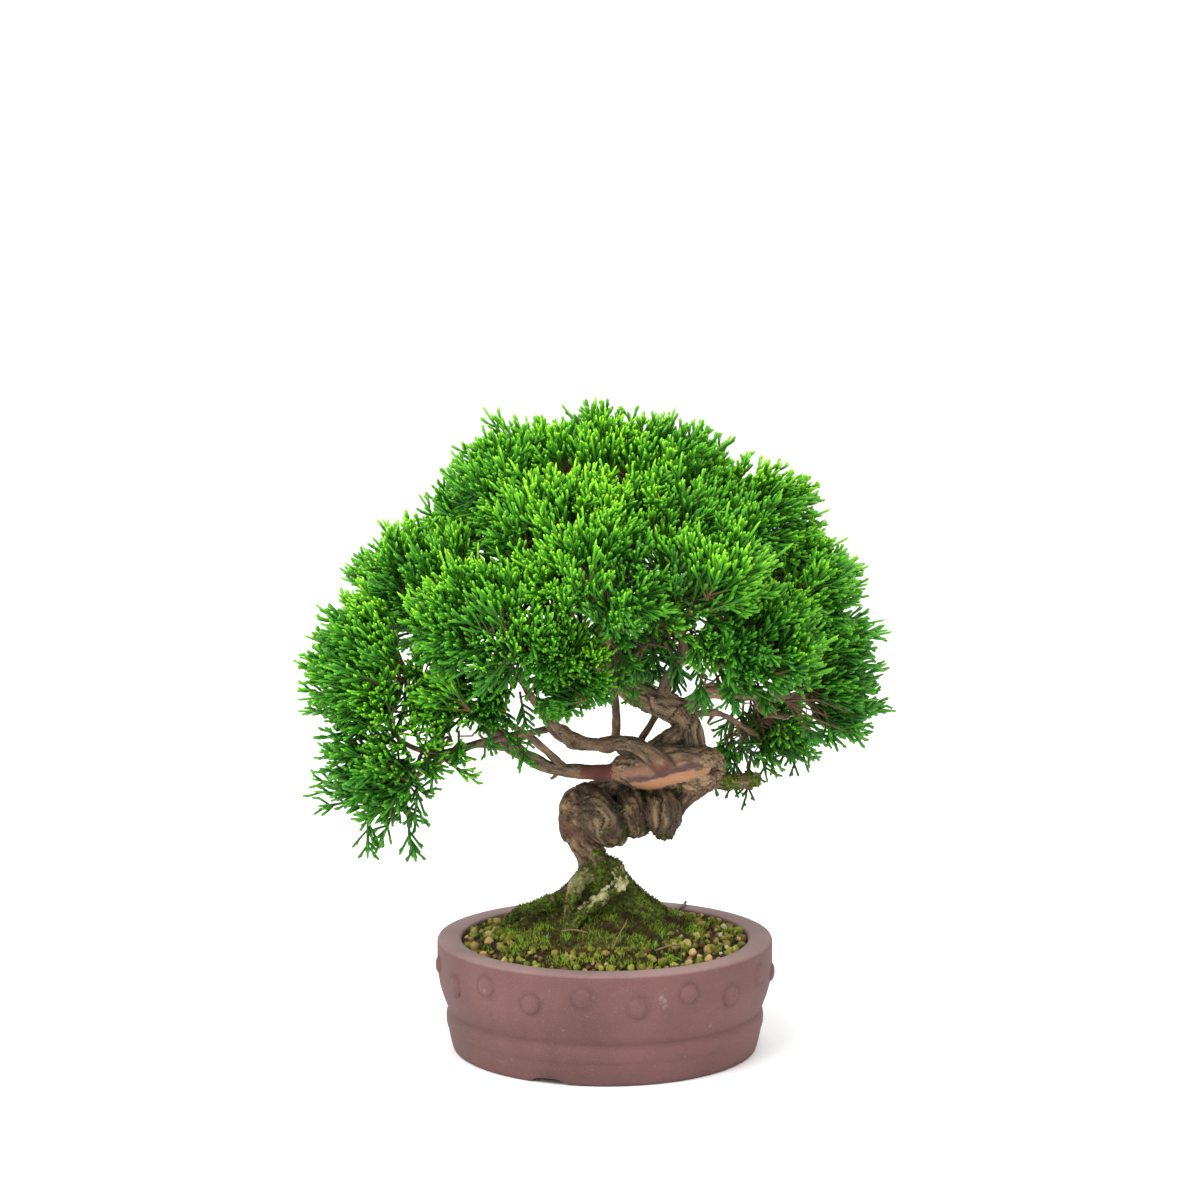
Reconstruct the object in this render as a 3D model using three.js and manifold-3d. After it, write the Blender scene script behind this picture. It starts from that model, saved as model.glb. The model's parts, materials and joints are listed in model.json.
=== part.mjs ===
// An itoigawa juniper trained as a bonsai with a corkscrew trunk, planted in a round unglazed drum pot.
// Millimetres, +Z up. The origin is on the pot's axis, on the surface that the pot stands on, and the
// best side of the tree faces -Y.
import * as THREE from "three";
import { mergeVertices } from "three/addons/utils/BufferGeometryUtils.js";
import Module from "manifold-3d";

// Pot
const potHeight = 60;
const rimRadius = 90;
const rimInnerRadius = 76.8;
const floorInnerRadius = 76;
const floorTop = 12;
const floorUnderside = 4;
const footInnerRadius = 75;
const drainRadius = 9;
const potSides = 32;
const studRadius = 5;
const studHeight = 1.9;
const studRows = [
  { depth: 11.8, firstAngle: -7.5 },
  { depth: 16.8, firstAngle: 10.7 },
];
const studsPerRow = 10;
const archAngles = [-21, 99, 219];
const archWidth = 22;
const archHeight = 3;

// Soil and moss
const clearance = 0.3;
const soilEdge = 57;
const soilCrown = 66;
const granuleHeight = 1.5;
const granuleRing = 6.4;
const mossRadius = 54;
const mossHeight = 15;
const mossEdge = 1.2;
const mossHollow = 1.4;

// Drain mesh, its clip and the tie wire
const meshWidth = 26;
const meshThickness = 0.8;
const meshPitch = 7.5;
const meshOpening = 6;
const clipWireRadius = 0.5;
const tieWireRadius = 0.8;

// Wood
const thinBranch = 2.7;
const twistAxis = 126;
const twistReach = [-14, 33];
const twistWinding = [8.5, 6];
const twistRadius = [9.6, 8.6];

// Foliage
const shootReach = 14;
const coreInset = 12.5;
const padGap = 0.8;
const rootDepth = 0.3;
const outerCrowding = 0.5;
const innerBare = 0;
const coreLumps = 0.12;
const leastCore = 0.25;
const leastShoot = 0.35;
const shootVariety = 0.25;
const trimStep = 0.05;
const crownHeartHeight = 225;
const smallPad = 30;
const seed = 20;

const wasm = await Module();
wasm.setup();

const colours = {
  clay: new THREE.MeshStandardMaterial({ color: 0x8a6560, roughness: 0.85 }),
  granules: new THREE.MeshStandardMaterial({ color: 0xb4975a, roughness: 0.95 }),
  moss: new THREE.MeshStandardMaterial({ color: 0x4c6b22, roughness: 1 }),
  bark: new THREE.MeshStandardMaterial({ color: 0x7d6250, roughness: 0.9 }),
  foliage: new THREE.MeshStandardMaterial({ color: 0x348c33, roughness: 0.7 }),
  plastic: new THREE.MeshStandardMaterial({ color: 0x1c1c1c, roughness: 0.6 }),
  wire: new THREE.MeshStandardMaterial({ color: 0x6b5a4c, roughness: 0.5, metalness: 0.8 }),
};

// A closed geometry as a solid that can be joined and cut.
function solid(geometry) {
  geometry.deleteAttribute("normal");
  geometry.deleteAttribute("uv");
  const merged = mergeVertices(geometry, 1e-3);
  return new wasm.Manifold(
    new wasm.Mesh({
      numProp: 3,
      vertProperties: merged.attributes.position.array,
      triVerts: new Uint32Array(merged.index.array),
    }),
  );
}

function join(solids) {
  return wasm.Manifold.union(solids);
}

// The largest body of a solid, without the scraps that a cut leaves loose.
function largest(cut) {
  return cut.decompose().sort((a, b) => b.volume() - a.volume())[0];
}

function namedMesh(name, body, material) {
  const { numProp, vertProperties, triVerts } = body.getMesh();
  const geometry = new THREE.BufferGeometry();
  geometry.setAttribute("position", new THREE.BufferAttribute(vertProperties, numProp));
  geometry.setIndex(new THREE.BufferAttribute(triVerts, 1));
  geometry.computeVertexNormals();
  const mesh = new THREE.Mesh(geometry, material);
  mesh.name = name;
  return mesh;
}

// A body turned round the Z axis from its [radius, z] outline.
function turned(outline, sides) {
  const points = outline.map(([radius, z]) => new THREE.Vector2(radius, z));
  return new THREE.LatheGeometry(points, sides).rotateX(Math.PI / 2);
}

function moveVertices(geometry, move) {
  const position = geometry.attributes.position;
  const point = new THREE.Vector3();
  for (let i = 0; i < position.count; i += 1) {
    move(point.fromBufferAttribute(position, i));
    position.setXYZ(i, point.x, point.y, point.z);
  }
  return geometry;
}

// The unit vector at an angle round the pot, counted from the front towards +X.
function aroundPot(degrees) {
  const angle = THREE.MathUtils.degToRad(degrees);
  return new THREE.Vector3(Math.sin(angle), -Math.cos(angle), 0);
}

// Pot: one thick-walled body with a waist groove, studs, foot arches and a drain hole.
function makePot() {
  const wall = turned(
    [
      [0, floorUnderside],
      [footInnerRadius - 2, floorUnderside],
      [footInnerRadius, 0],
      [81, 0],
      [84.3, 12.5],
      [85.2, 19],
      [84.2, 22.5],
      [87, 30],
      [rimRadius, 46],
      [rimRadius, potHeight - 1.4],
      [rimRadius - 1.4, potHeight],
      [rimInnerRadius, potHeight],
      [floorInnerRadius, floorTop],
      [0, floorTop],
    ],
    potSides,
  );
  const studs = studRows.flatMap(({ depth, firstAngle }) =>
    Array.from({ length: studsPerRow }, (_, k) => {
      const outward = aroundPot(firstAngle + (360 / studsPerRow) * k);
      const cap = turned(
        [
          [0, -3],
          [studRadius, -0.5],
          [studRadius * 0.6, studHeight * 0.8],
          [0, studHeight],
        ],
        6,
      );
      cap.applyQuaternion(new THREE.Quaternion().setFromUnitVectors(new THREE.Vector3(0, 0, 1), outward));
      const seat = outward.clone().multiplyScalar(rimRadius - 0.3);
      cap.translate(seat.x, seat.y, potHeight - depth);
      return solid(cap);
    }),
  );
  const arches = archAngles.map((degrees) => {
    const arch = new THREE.CylinderGeometry(archWidth / 2, archWidth / 2, 20, 8);
    arch.scale(1, 1, archHeight / (archWidth / 2));
    const middle = aroundPot(degrees).multiplyScalar(78);
    arch.rotateZ(THREE.MathUtils.degToRad(degrees)).translate(middle.x, middle.y, 0);
    return solid(arch);
  });
  const drain = new THREE.CylinderGeometry(drainRadius, drainRadius, 20, 16).rotateX(Math.PI / 2);
  return join([solid(wall), ...studs]).subtract(join([...arches, solid(drain.translate(0, 0, 8))]));
}

// The soil's surface: a low dome.
function soilDome(radius) {
  return soilEdge + (soilCrown - soilEdge) * (1 - (radius / rimInnerRadius) ** 2);
}

// The granules: bumps on the dome, on rings and spokes outside the moss.
function soilTop(x, y) {
  const radius = Math.hypot(x, y);
  const dome = soilDome(radius);
  if (radius < mossRadius + 1 || radius > rimInnerRadius - 3) return dome;
  const ring = Math.round(radius / granuleRing);
  const spoke = Math.round((Math.atan2(y, x) / (2 * Math.PI)) * potSides);
  const uneven = 0.6 * Math.sin(ring * 12.9 + spoke * 78.2);
  return dome + granuleHeight * (((ring + spoke) % 2 === 0 ? 0.5 : -0.5) + 0.5 * uneven);
}

function makeSoil() {
  const outline = [
    [0, floorTop + clearance],
    [floorInnerRadius - clearance, floorTop + clearance],
    [rimInnerRadius - clearance - 0.2, soilEdge],
  ];
  for (let ring = 11; ring > 0; ring -= ring > 7 ? 1 : 3) {
    outline.push([ring * granuleRing, soilCrown]);
  }
  outline.push([0, soilCrown]);
  const body = moveVertices(turned(outline, potSides), (point) => {
    if (point.z > soilEdge + 1) point.z = soilTop(point.x, point.y);
  });
  const meshRecess = new THREE.BoxGeometry(meshWidth + 1, meshWidth + 1, 8).translate(0, 0, floorTop);
  return solid(body).subtract(solid(meshRecess));
}

// Moss: a mound lying on the soil round the root flare, thin at its edge.
function makeMoss() {
  const rings = [14, 26, 40, mossRadius];
  const under = rings.map((radius) => [radius, 0]);
  const over = rings.map((radius) => [radius - 0.2, 1]).reverse();
  const body = moveVertices(turned([[0, 0], ...under, ...over, [0, 1]], potSides / 2), (point) => {
    const radius = Math.hypot(point.x, point.y);
    const angle = Math.atan2(point.y, point.x);
    const lumpy = 1 + 0.12 * Math.sin(5 * angle + radius * 0.4) + 0.1 * Math.sin(3 * angle + 1);
    const mound = mossEdge + mossHeight * Math.max(0, 1 - radius / mossRadius) ** mossHollow * lumpy;
    const spread = radius > mossRadius - 1 ? 0.9 + 0.1 * Math.sin(4 * angle + 2) : 1;
    const lift = point.z > 0.5 ? mound : 0;
    point.x *= spread;
    point.y *= spread;
    point.z = soilDome(radius * spread) + clearance + lift;
  });
  return solid(body);
}

// A closed tube along a smooth curve through [x, y, z, radius] stations, with shallow flutes.
function limb(stations, { sides = 6, spacing = 11, swell = 0, flutes = 0 } = {}) {
  const curve = new THREE.CatmullRomCurve3(
    stations.map(([x, y, z]) => new THREE.Vector3(x, y, z)),
    false,
    "centripetal",
  );
  const steps = Math.max(2, Math.round(curve.getLength() / spacing));
  const { normals, binormals } = curve.computeFrenetFrames(steps, false);
  const tube = new THREE.CylinderGeometry(1, 1, 1, sides, steps);
  moveVertices(tube, (point) => {
    const step = Math.round((point.y + 0.5) * steps);
    const along = step / steps;
    const place = curve.getUtoTmapping(along) * (stations.length - 1);
    const before = Math.min(Math.floor(place), stations.length - 2);
    const radius = THREE.MathUtils.lerp(stations[before][3], stations[before + 1][3], place - before);
    const ridge = 1 + flutes * Math.sin(3 * Math.atan2(point.z, point.x) + 9 * along);
    const { x, z } = point;
    point.copy(curve.getPointAt(along));
    point.addScaledVector(binormals[step], x * (radius * ridge + swell));
    point.addScaledVector(normals[step], z * (radius * ridge + swell));
  });
  return solid(tube);
}

// The corkscrew: the trunk winds round a level axis, over the top towards the front and down. It is
// made a third of a turn at a time.
function corkscrew() {
  const turns = 3;
  const piecesPerTurn = 3;
  const station = (share) => {
    const angle = Math.PI / 2 + share * turns * 2 * Math.PI;
    const winding = THREE.MathUtils.lerp(twistWinding[0], twistWinding[1], share);
    const radius = THREE.MathUtils.lerp(twistRadius[0], twistRadius[1], share);
    const x = THREE.MathUtils.lerp(twistReach[0], twistReach[1], share);
    return [x, -winding * Math.cos(angle), twistAxis - winding * Math.sin(angle), radius];
  };
  return Array.from({ length: turns * piecesPerTurn }, (_, piece) =>
    [-0.1, 0.33, 0.67, 1.1].map((part) => station((piece + part) / (turns * piecesPerTurn))),
  );
}

const trunkLimbs = [
  [
    [4, 0, 44, 20], [4, 0, 60, 19], [3, 0, 76, 15], [-1, 0, 90, 10.4], [-5, 0, 98, 8.8],
    [-8, 0, 105, 8], [-12, 1, 113, 9], [-13, 3, 122, 9],
  ],
  ...corkscrew(),
  [[-8, 5, 126, 9], [14, 5, 127, 8], [31, 5, 129, 8], [42, 5, 138, 8.5], [50, 4, 148, 10]],
  [
    [60, 3, 150, 7], [56, 3, 150, 11.5], [49, 1, 150.5, 12.8], [41, -2, 153, 11], [33, -4, 152.8, 11.3],
    [25, -6, 151.3, 11.3], [17, -7, 151.3, 9.8], [10, -7.5, 152, 7.8], [4, -7, 152.5, 5.4],
  ],
  [
    [52, 4, 151, 10.5], [49.5, 5, 162, 8.8], [45.5, 6, 172, 7.8], [41, 6, 179, 7.6], [33, 5, 184, 7.3],
    [25, 5, 187, 7.2], [17, 6, 191, 7.2], [10, 6, 197, 6.8], [4, 7, 206, 6], [0, 9, 218, 5.2],
    [-1, 10, 234, 4.6], [2, 12, 254, 4], [-3, 12, 280, 3],
  ],
  [[20, -2, 155, 6], [28, 2, 161, 6.5], [37, 5, 166, 7], [45, 6, 171, 7]],
];

const rootLimbs = [
  [
    [-9, -3, 95, 5], [-16.6, -3, 86.5, 4.6], [-26, -2, 80, 4.2], [-36, 2, 75.5, 3.6], [-46, 8, 71, 3.2],
    [-56, 14, 60, 2.4],
  ],
  [
    [1, -3, 101, 4.6], [7, -9, 97.5, 4], [8.8, -13, 92.5, 3.6], [5, -16, 88, 3.4], [-1.3, -19, 84.5, 3.2],
    [-7.6, -22.5, 81, 3], [-14, -28, 75, 2.7], [-22, -34, 60, 2.4],
  ],
  [
    [-6, -5, 98, 4.4], [-11.5, -9, 94, 4.2], [-15, -13, 90, 4], [-17.5, -18, 85, 3.8],
    [-19, -24, 78, 3.4], [-21, -31, 60, 2.8],
  ],
  [[6, -2, 92, 6.5], [12, -5, 84, 6.5], [19, -9, 76, 6], [28, -13, 68, 5], [38, -16, 56, 3.4]],
  [[0, 6, 92, 7], [-4, 20, 78, 6], [-9, 34, 67, 4.4], [-12, 46, 54, 3]],
  [[4, 6, 90, 7], [18, 16, 76, 6], [30, 26, 66, 4.6], [39, 34, 54, 3]],
];

const branchLimbs = [
  [
    [34, -13, 152, 5.5], [28, -14.5, 157.5, 5.5], [22, -14.5, 162.5, 5.2], [16, -13.5, 166, 4.6],
    [6.5, -13, 167.3, 3.9], [1, -13, 166, 4.4], [-8, -13, 166.5, 3.8], [-17, -13.5, 168.5, 4.5],
    [-22, -14.5, 171.8, 4.3], [-27, -16, 175.5, 3.6], [-31, -19, 182, 2.9], [-36, -23, 189, 2.2],
  ],
  [
    [10, -7, 152, 6.5], [4, -7, 150.5, 4.9], [-11, -6, 150.2, 3.9], [-22, -6, 151.3, 3.7],
    [-30, -6.5, 153, 3.6], [-37, -7, 156.5, 3.7], [-45, -7.5, 160.8, 3.8], [-52, -8, 166, 4.2],
    [-67, -12, 181, 3.4], [-75, -16, 190, 3], [-95, -26, 202, 2.5], [-108, -38, 212, 2.2],
    [-122, -50, 221, 2],
  ],
  [[-75, -16, 190, 2.2], [-87, -24, 187, 2], [-106, -36, 178, 1.8], [-122, -50, 168, 1.6]],
  [
    [-52, -8, 164, 2.4], [-69, -14, 166, 1.8], [-85, -24, 160, 1.7], [-103, -38, 152, 1.6],
    [-120, -52, 149, 1.5],
  ],
  [
    [-27, -16, 176, 1.9], [-46, -18, 172, 1.7], [-65, -22, 169, 1.6], [-89, -30, 165, 1.6],
    [-106, -36, 172, 1.5], [-118, -44, 196, 1.4], [-124, -50, 212, 1.4],
  ],
  [
    [-21, -6, 152, 2.4], [-31, -11, 162, 2], [-41, -17, 172, 1.8], [-56, -34, 184, 1.7],
    [-66, -46, 192, 1.5],
  ],
  [
    [31, 3, 153, 5], [15, 20, 155, 3], [7, 25, 159, 2.6], [6, 26, 180, 2.4], [3, 25, 195, 2.3],
    [-4, 32, 203, 2.2], [-4, 62, 206, 2], [-3, 92, 207, 1.7],
  ],
  [
    [6, 25, 186, 2.2], [-4, 31, 202, 2.1], [-22, 44, 212, 2], [-60, 58, 232, 1.9],
    [-98, 66, 243, 1.6],
  ],
  [
    [15, 20, 156, 2.3], [28, 34, 175, 2], [38, 50, 196, 1.9], [47, 74, 230, 1.8],
    [53, 86, 254, 1.6],
  ],
  [[39, 52, 198, 1.8], [66, 58, 214, 1.8], [96, 60, 226, 1.6]],
  [
    [38, 6, 179, 6], [47, 3, 186, 4.8], [56, -2, 193, 4], [69, -6, 192, 3.1], [95, -2, 190, 2.5],
    [112, 6, 190, 2], [127, 12, 198, 1.6],
  ],
  [[69, -6, 192, 2.4], [77, -30, 206, 2], [81, -56, 226, 1.6]],
  [[78, -4, 191, 1.7], [84, -10, 183, 1.6], [97, -14, 181, 1.3]],
  [[54, 3, 146, 5], [63, 2, 143.5, 4.4], [71, 2, 143.7, 4.2], [83, 2, 144.6, 3.7]],
  [[43, 7, 178, 2.8], [60, 25, 177, 1.8], [75, 50, 166, 1.7], [86, 66, 157, 1.5]],
  [
    [30, 4, 187, 5], [36, 2, 203, 4.2], [39, -1, 220, 3.8], [39, -6, 236, 3.3], [44, -10, 252, 2.8],
    [62, -6, 270, 2.2], [80, -2, 282, 1.8],
  ],
  [[39, -4, 234, 2.4], [72, -8, 240, 2], [114, -2, 249, 1.7]],
  [[39, -5, 238, 2.4], [43, -36, 252, 2], [48, -72, 264, 1.7]],
  [[39, -6, 236, 3], [43, -9, 262, 2], [36, -5, 306, 1.7]],
  [
    [6, 4, 204, 4], [-12, -14, 211, 2.8], [-24, -32, 213, 2.4], [-40, -60, 226, 2],
    [-55, -80, 238, 1.6],
  ],
  [[-12, -14, 211, 2.2], [-15, -40, 212, 1.9], [-17, -64, 212, 1.6]],
  [[1, 8, 216, 3], [0, -24, 240, 2.4], [0, -58, 256, 2], [-1, -86, 264, 1.6]],
  [[0, 10, 236, 3], [-10, -14, 262, 2.2], [-21, -44, 288, 1.7]],
  [[2, 12, 252, 2.6], [16, -16, 274, 2], [27, -46, 288, 1.6]],
  [[1, 8, 218, 2.8], [-10, 44, 240, 2.2], [-24, 86, 261, 1.7]],
  [[-2, 12, 276, 2.6], [-24, 8, 292, 2.2], [-48, 2, 309, 1.7]],
  [[-3, 12, 276, 2.4], [-6, 12, 300, 2], [-7, 12, 318, 1.7]],
  [[-72, -14, 188, 2.2], [-92, -12, 222, 2], [-107, -14, 258, 1.7]],
  [[-10, 44, 240, 2], [-34, 46, 264, 1.8], [-56, 48, 283, 1.6]],
  [[2, 12, 254, 2.6], [12, 32, 274, 2], [23, 48, 290, 1.6]],
];

// Wood: roots, trunk and branches grown as one. Swollen, the same limbs give the room it takes in
// the soil, the moss and the foliage.
function makeWood(swell) {
  const trunk = trunkLimbs.map((stations) => limb(stations, { sides: 7, spacing: 17, swell, flutes: 0.07 }));
  const roots = rootLimbs.map((stations) => limb(stations, { sides: 5, spacing: 17, swell, flutes: 0.1 }));
  const branches = branchLimbs.map((stations) => {
    const thick = stations[0][3] > thinBranch;
    return limb(stations, { sides: thick ? 5 : 4, spacing: thick ? 26 : 40, swell });
  });
  return join([...trunk, ...roots, ...branches]);
}

// Each pad of foliage: the middle and half sizes of the cloud that its shoot tips fill.
const pads = [
  { name: "top_left", middle: [-43, 0, 307], half: [42, 45, 34] },
  { name: "top", middle: [-6, 10, 316], half: [46, 50, 33] },
  { name: "top_right", middle: [33, -4, 307], half: [42, 47, 35] },
  { name: "right_shoulder", middle: [77, 0, 281], half: [41, 45, 37] },
  { name: "right_upper", middle: [108, 0, 245], half: [34, 45, 37] },
  { name: "right_low", middle: [125, 15, 201], half: [30, 40, 44] },
  { name: "right_front", middle: [76, -59, 228], half: [42, 35, 33] },
  { name: "front_right", middle: [45, -74, 264], half: [45, 35, 35] },
  { name: "front_centre", middle: [-1, -87, 263], half: [45, 38, 37] },
  { name: "front_left", middle: [-53, -80, 240], half: [52, 40, 39] },
  { name: "left_upper", middle: [-97, -13, 255], half: [32, 42, 35] },
  { name: "left", middle: [-126, -52, 212], half: [33, 42, 41] },
  { name: "left_low", middle: [-124, -58, 159], half: [31, 32, 33] },
  { name: "left_inner", middle: [-72, -48, 191], half: [30, 22, 19] },
  { name: "centre_low", middle: [-19, -67, 213], half: [18, 21, 25] },
  { name: "back_hanging", middle: [90, 72, 157], half: [27, 25, 29] },
  { name: "mid_left", middle: [-21, -47, 287], half: [50, 35, 34] },
  { name: "mid_right", middle: [26, -49, 286], half: [47, 35, 34] },
  { name: "back_left", middle: [-96, 66, 241], half: [50, 45, 39] },
  { name: "back", middle: [-23, 82, 260], half: [52, 42, 41] },
  { name: "back_right", middle: [49, 83, 255], half: [52, 42, 41] },
  { name: "back_right_low", middle: [97, 59, 227], half: [40, 42, 37] },
  { name: "back_low", middle: [-3, 89, 205], half: [52, 35, 32] },
  { name: "back_top_left", middle: [-58, 48, 286], half: [42, 38, 34] },
  { name: "back_top_right", middle: [24, 50, 294], half: [44, 38, 34] },
];

// How deep a point lies in a pad's cloud: 0 in its middle, 1 on its surface.
function depthIn(pad, point) {
  return Math.hypot(
    (point.x - pad.middle[0]) / pad.half[0],
    (point.y - pad.middle[1]) / pad.half[1],
    (point.z - pad.middle[2]) / pad.half[2],
  );
}

// The largest share of the way from a start to an end that keeps to the pad's own side of the pads
// beside it, by a gap.
function shareInside(pad, start, end, gap) {
  const length = start.distanceTo(end);
  const clear = (share) => {
    const place = start.clone().lerp(end, share + gap / length);
    return pads.every((other) => other === pad || depthIn(pad, place) < depthIn(other, place));
  };
  let share = 1;
  while (share > 0 && !clear(share)) share -= trimStep;
  return share;
}

// A pad of foliage: a lumpy twiggy core whose whole outer side stands out in slender pointed
// shoots. All of it fans out from one root, on the pad's inner side, so that no shoot crosses another.
function makePad(pad) {
  const middle = new THREE.Vector3(...pad.middle);
  const half = new THREE.Vector3(...pad.half).subScalar(coreInset);
  const heart = new THREE.Vector3(0, 0, Math.min(crownHeartHeight, middle.z));
  const outside = middle.clone().sub(heart).normalize();
  const root = middle.clone().sub(outside.clone().multiply(half).multiplyScalar(rootDepth));
  const meanHalf = (pad.half[0] + pad.half[1] + pad.half[2]) / 3;
  const core = moveVertices(new THREE.IcosahedronGeometry(1, meanHalf < smallPad ? 1 : 2), (point) => {
    point.addScaledVector(outside, outerCrowding).normalize();
    const lumpy = 1 + coreLumps * Math.sin(7 * point.x + 5 * point.y + 4 * point.z + pad.middle[0]);
    const slope = point.clone().divide(half);
    const offset = root.clone().sub(middle).divide(half);
    const along = offset.dot(slope) / slope.lengthSq();
    const reach = Math.sqrt(along ** 2 + (1 - offset.lengthSq()) / slope.lengthSq()) - along;
    const surface = root.clone().addScaledVector(point, reach * lumpy);
    point.copy(root).lerp(surface, Math.max(leastCore, shareInside(pad, root, surface, 3 * padGap)));
  });
  const corners = [];
  const face = [new THREE.Vector3(), new THREE.Vector3(), new THREE.Vector3()];
  const { position } = core.attributes;
  for (let first = 0; first < position.count; first += 3) {
    face.forEach((corner, k) => corner.fromBufferAttribute(position, first + k));
    const foot = new THREE.Vector3().add(face[0]).add(face[1]).add(face[2]).divideScalar(3);
    const away = foot.clone().sub(root).normalize();
    const length = shootReach * (1 - shootVariety * THREE.MathUtils.seededRandom());
    const tip = foot.clone().addScaledVector(away, length);
    const share = shareInside(pad, foot, tip, padGap);
    if (share < leastShoot || away.dot(outside) < innerBare) {
      corners.push(...face.map((corner) => corner.clone()));
      continue;
    }
    tip.lerpVectors(foot, tip, share);
    for (let k = 0; k < 3; k += 1) {
      corners.push(face[k].clone(), face[(k + 1) % 3].clone(), tip);
    }
  }
  return solid(new THREE.BufferGeometry().setFromPoints(corners));
}

// A round wire bent along its route.
function wire(route, radius, sides) {
  const stations = route.map((point) => new THREE.Vector3(...point));
  const curve = new THREE.CatmullRomCurve3(stations, false, "centripetal");
  const section = new THREE.Shape();
  for (let k = 0; k < sides; k += 1) {
    const angle = (2 * Math.PI * k) / sides;
    section[k === 0 ? "moveTo" : "lineTo"](radius * Math.cos(angle), radius * Math.sin(angle));
  }
  const options = { extrudePath: curve, steps: Math.round(route.length * 1.3), bevelEnabled: false };
  return solid(new THREE.ExtrudeGeometry(section, options));
}

// Plastic drain mesh, lying on the floor over the drain hole.
function makeDrainMesh() {
  const sheet = new THREE.BoxGeometry(meshWidth, meshWidth, meshThickness);
  const openings = [-1, 0, 1].flatMap((column) =>
    [-1, 0, 1].map((row) => {
      const opening = new THREE.BoxGeometry(meshOpening, meshOpening, 3 * meshThickness);
      return solid(opening.translate(column * meshPitch, row * meshPitch, 0));
    }),
  );
  const height = floorTop + clearance + meshThickness / 2;
  return solid(sheet).subtract(join(openings)).translate([0, 0, height]);
}

// The clip's bar lies on the mesh and its legs turn out under the floor.
const clipTop = floorTop + meshThickness + 3 * clearance + clipWireRadius;
const clipFoot = floorUnderside - clearance - clipWireRadius;
const clipRoute = [
  [-14, -2, clipFoot],
  [-7, -2, clipFoot],
  [-5.5, -2, clipFoot + 2],
  [-5.5, -2, clipTop - 1.5],
  [-4, -2, clipTop],
  [4, -2, clipTop],
  [5.5, -2, clipTop - 1.5],
  [5.5, -2, clipFoot + 2],
  [7, -2, clipFoot],
  [14, -2, clipFoot],
];

// The tie wire runs from under the floor up through the drain hole and the soil, and its end is
// bent over the back of the rim.
const tieFoot = floorUnderside - clearance - tieWireRadius;
const tieRest = potHeight + clearance + tieWireRadius;
const tieRoute = [
  [-15, 2, tieFoot],
  [-3, 2, tieFoot],
  [0, 2, tieFoot + 3],
  [0, 2, 17],
  [4, 7, 24],
  [18, 28, 32],
  [32, 46, 40],
  [39.5, 56, 50],
  [41.8, 60, tieRest - 0.9],
  [43.4, 64.8, tieRest + 0.3],
  [44.6, 71, tieRest],
  [45.6, 77, tieRest],
];

const wood = makeWood(0);
const woodRoom = makeWood(clearance + 0.05);
const tieRoom = wire(tieRoute, tieWireRadius + clearance, 6);

THREE.MathUtils.seededRandom(seed);
const group = new THREE.Group();
group.add(
  namedMesh("pot", makePot(), colours.clay),
  namedMesh("drain_mesh", makeDrainMesh(), colours.plastic),
  namedMesh("mesh_clip", wire(clipRoute, clipWireRadius, 5), colours.wire),
  namedMesh("tie_wire", wire(tieRoute, tieWireRadius, 6), colours.wire),
  namedMesh("soil", largest(makeSoil().subtract(woodRoom).subtract(tieRoom)), colours.granules),
  namedMesh("moss", largest(makeMoss().subtract(woodRoom)), colours.moss),
  namedMesh("tree_wood", wood, colours.bark),
  ...pads.map((pad) => {
    const foliage = largest(makePad(pad).subtract(woodRoom));
    return namedMesh("foliage_" + pad.name, foliage, colours.foliage);
  }),
);

export default group;
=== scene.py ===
import json
import math

import bmesh
import bpy
import numpy as np
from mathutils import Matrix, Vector, kdtree, noise

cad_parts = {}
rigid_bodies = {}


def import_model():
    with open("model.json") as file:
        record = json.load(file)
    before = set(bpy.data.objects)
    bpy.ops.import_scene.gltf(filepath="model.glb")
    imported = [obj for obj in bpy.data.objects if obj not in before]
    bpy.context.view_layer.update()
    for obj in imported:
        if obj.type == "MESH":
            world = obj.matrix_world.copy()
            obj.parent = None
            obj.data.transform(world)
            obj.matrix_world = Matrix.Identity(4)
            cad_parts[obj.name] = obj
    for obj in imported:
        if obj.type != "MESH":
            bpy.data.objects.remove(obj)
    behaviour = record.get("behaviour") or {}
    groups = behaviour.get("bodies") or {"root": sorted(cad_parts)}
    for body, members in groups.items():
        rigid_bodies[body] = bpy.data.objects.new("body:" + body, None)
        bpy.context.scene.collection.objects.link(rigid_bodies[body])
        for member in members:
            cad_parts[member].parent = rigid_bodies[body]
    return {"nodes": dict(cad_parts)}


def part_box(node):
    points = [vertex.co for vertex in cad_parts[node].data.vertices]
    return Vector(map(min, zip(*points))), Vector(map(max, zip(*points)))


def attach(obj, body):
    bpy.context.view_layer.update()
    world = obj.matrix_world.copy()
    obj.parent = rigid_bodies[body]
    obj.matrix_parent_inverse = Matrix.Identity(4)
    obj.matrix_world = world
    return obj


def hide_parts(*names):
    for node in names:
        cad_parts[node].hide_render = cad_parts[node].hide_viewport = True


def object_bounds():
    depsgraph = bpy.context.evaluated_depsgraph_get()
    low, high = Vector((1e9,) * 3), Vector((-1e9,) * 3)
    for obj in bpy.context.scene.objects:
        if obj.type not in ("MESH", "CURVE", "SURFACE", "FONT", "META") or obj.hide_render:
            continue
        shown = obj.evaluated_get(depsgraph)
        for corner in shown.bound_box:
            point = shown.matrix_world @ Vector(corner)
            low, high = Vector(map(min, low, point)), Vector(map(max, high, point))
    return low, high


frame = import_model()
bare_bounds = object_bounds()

# View: the photograph's angle, a little above the rim, from 1.6 m away. The floor is a wide pale
# table, and large soft lamps stand round it.
camera_tilt = 6.95
floor_reach = 14.0
room_light = 1.06
lamps = (((-1.2, -1.3, 1.9), 46), ((0.3, -0.5, 2.4), 22), ((0.2, 1.5, 2.0), 14))
lamp_size = 1.5
in_scene = bpy.context.scene.collection.objects
camera_data = bpy.data.cameras.new("camera")
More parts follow.
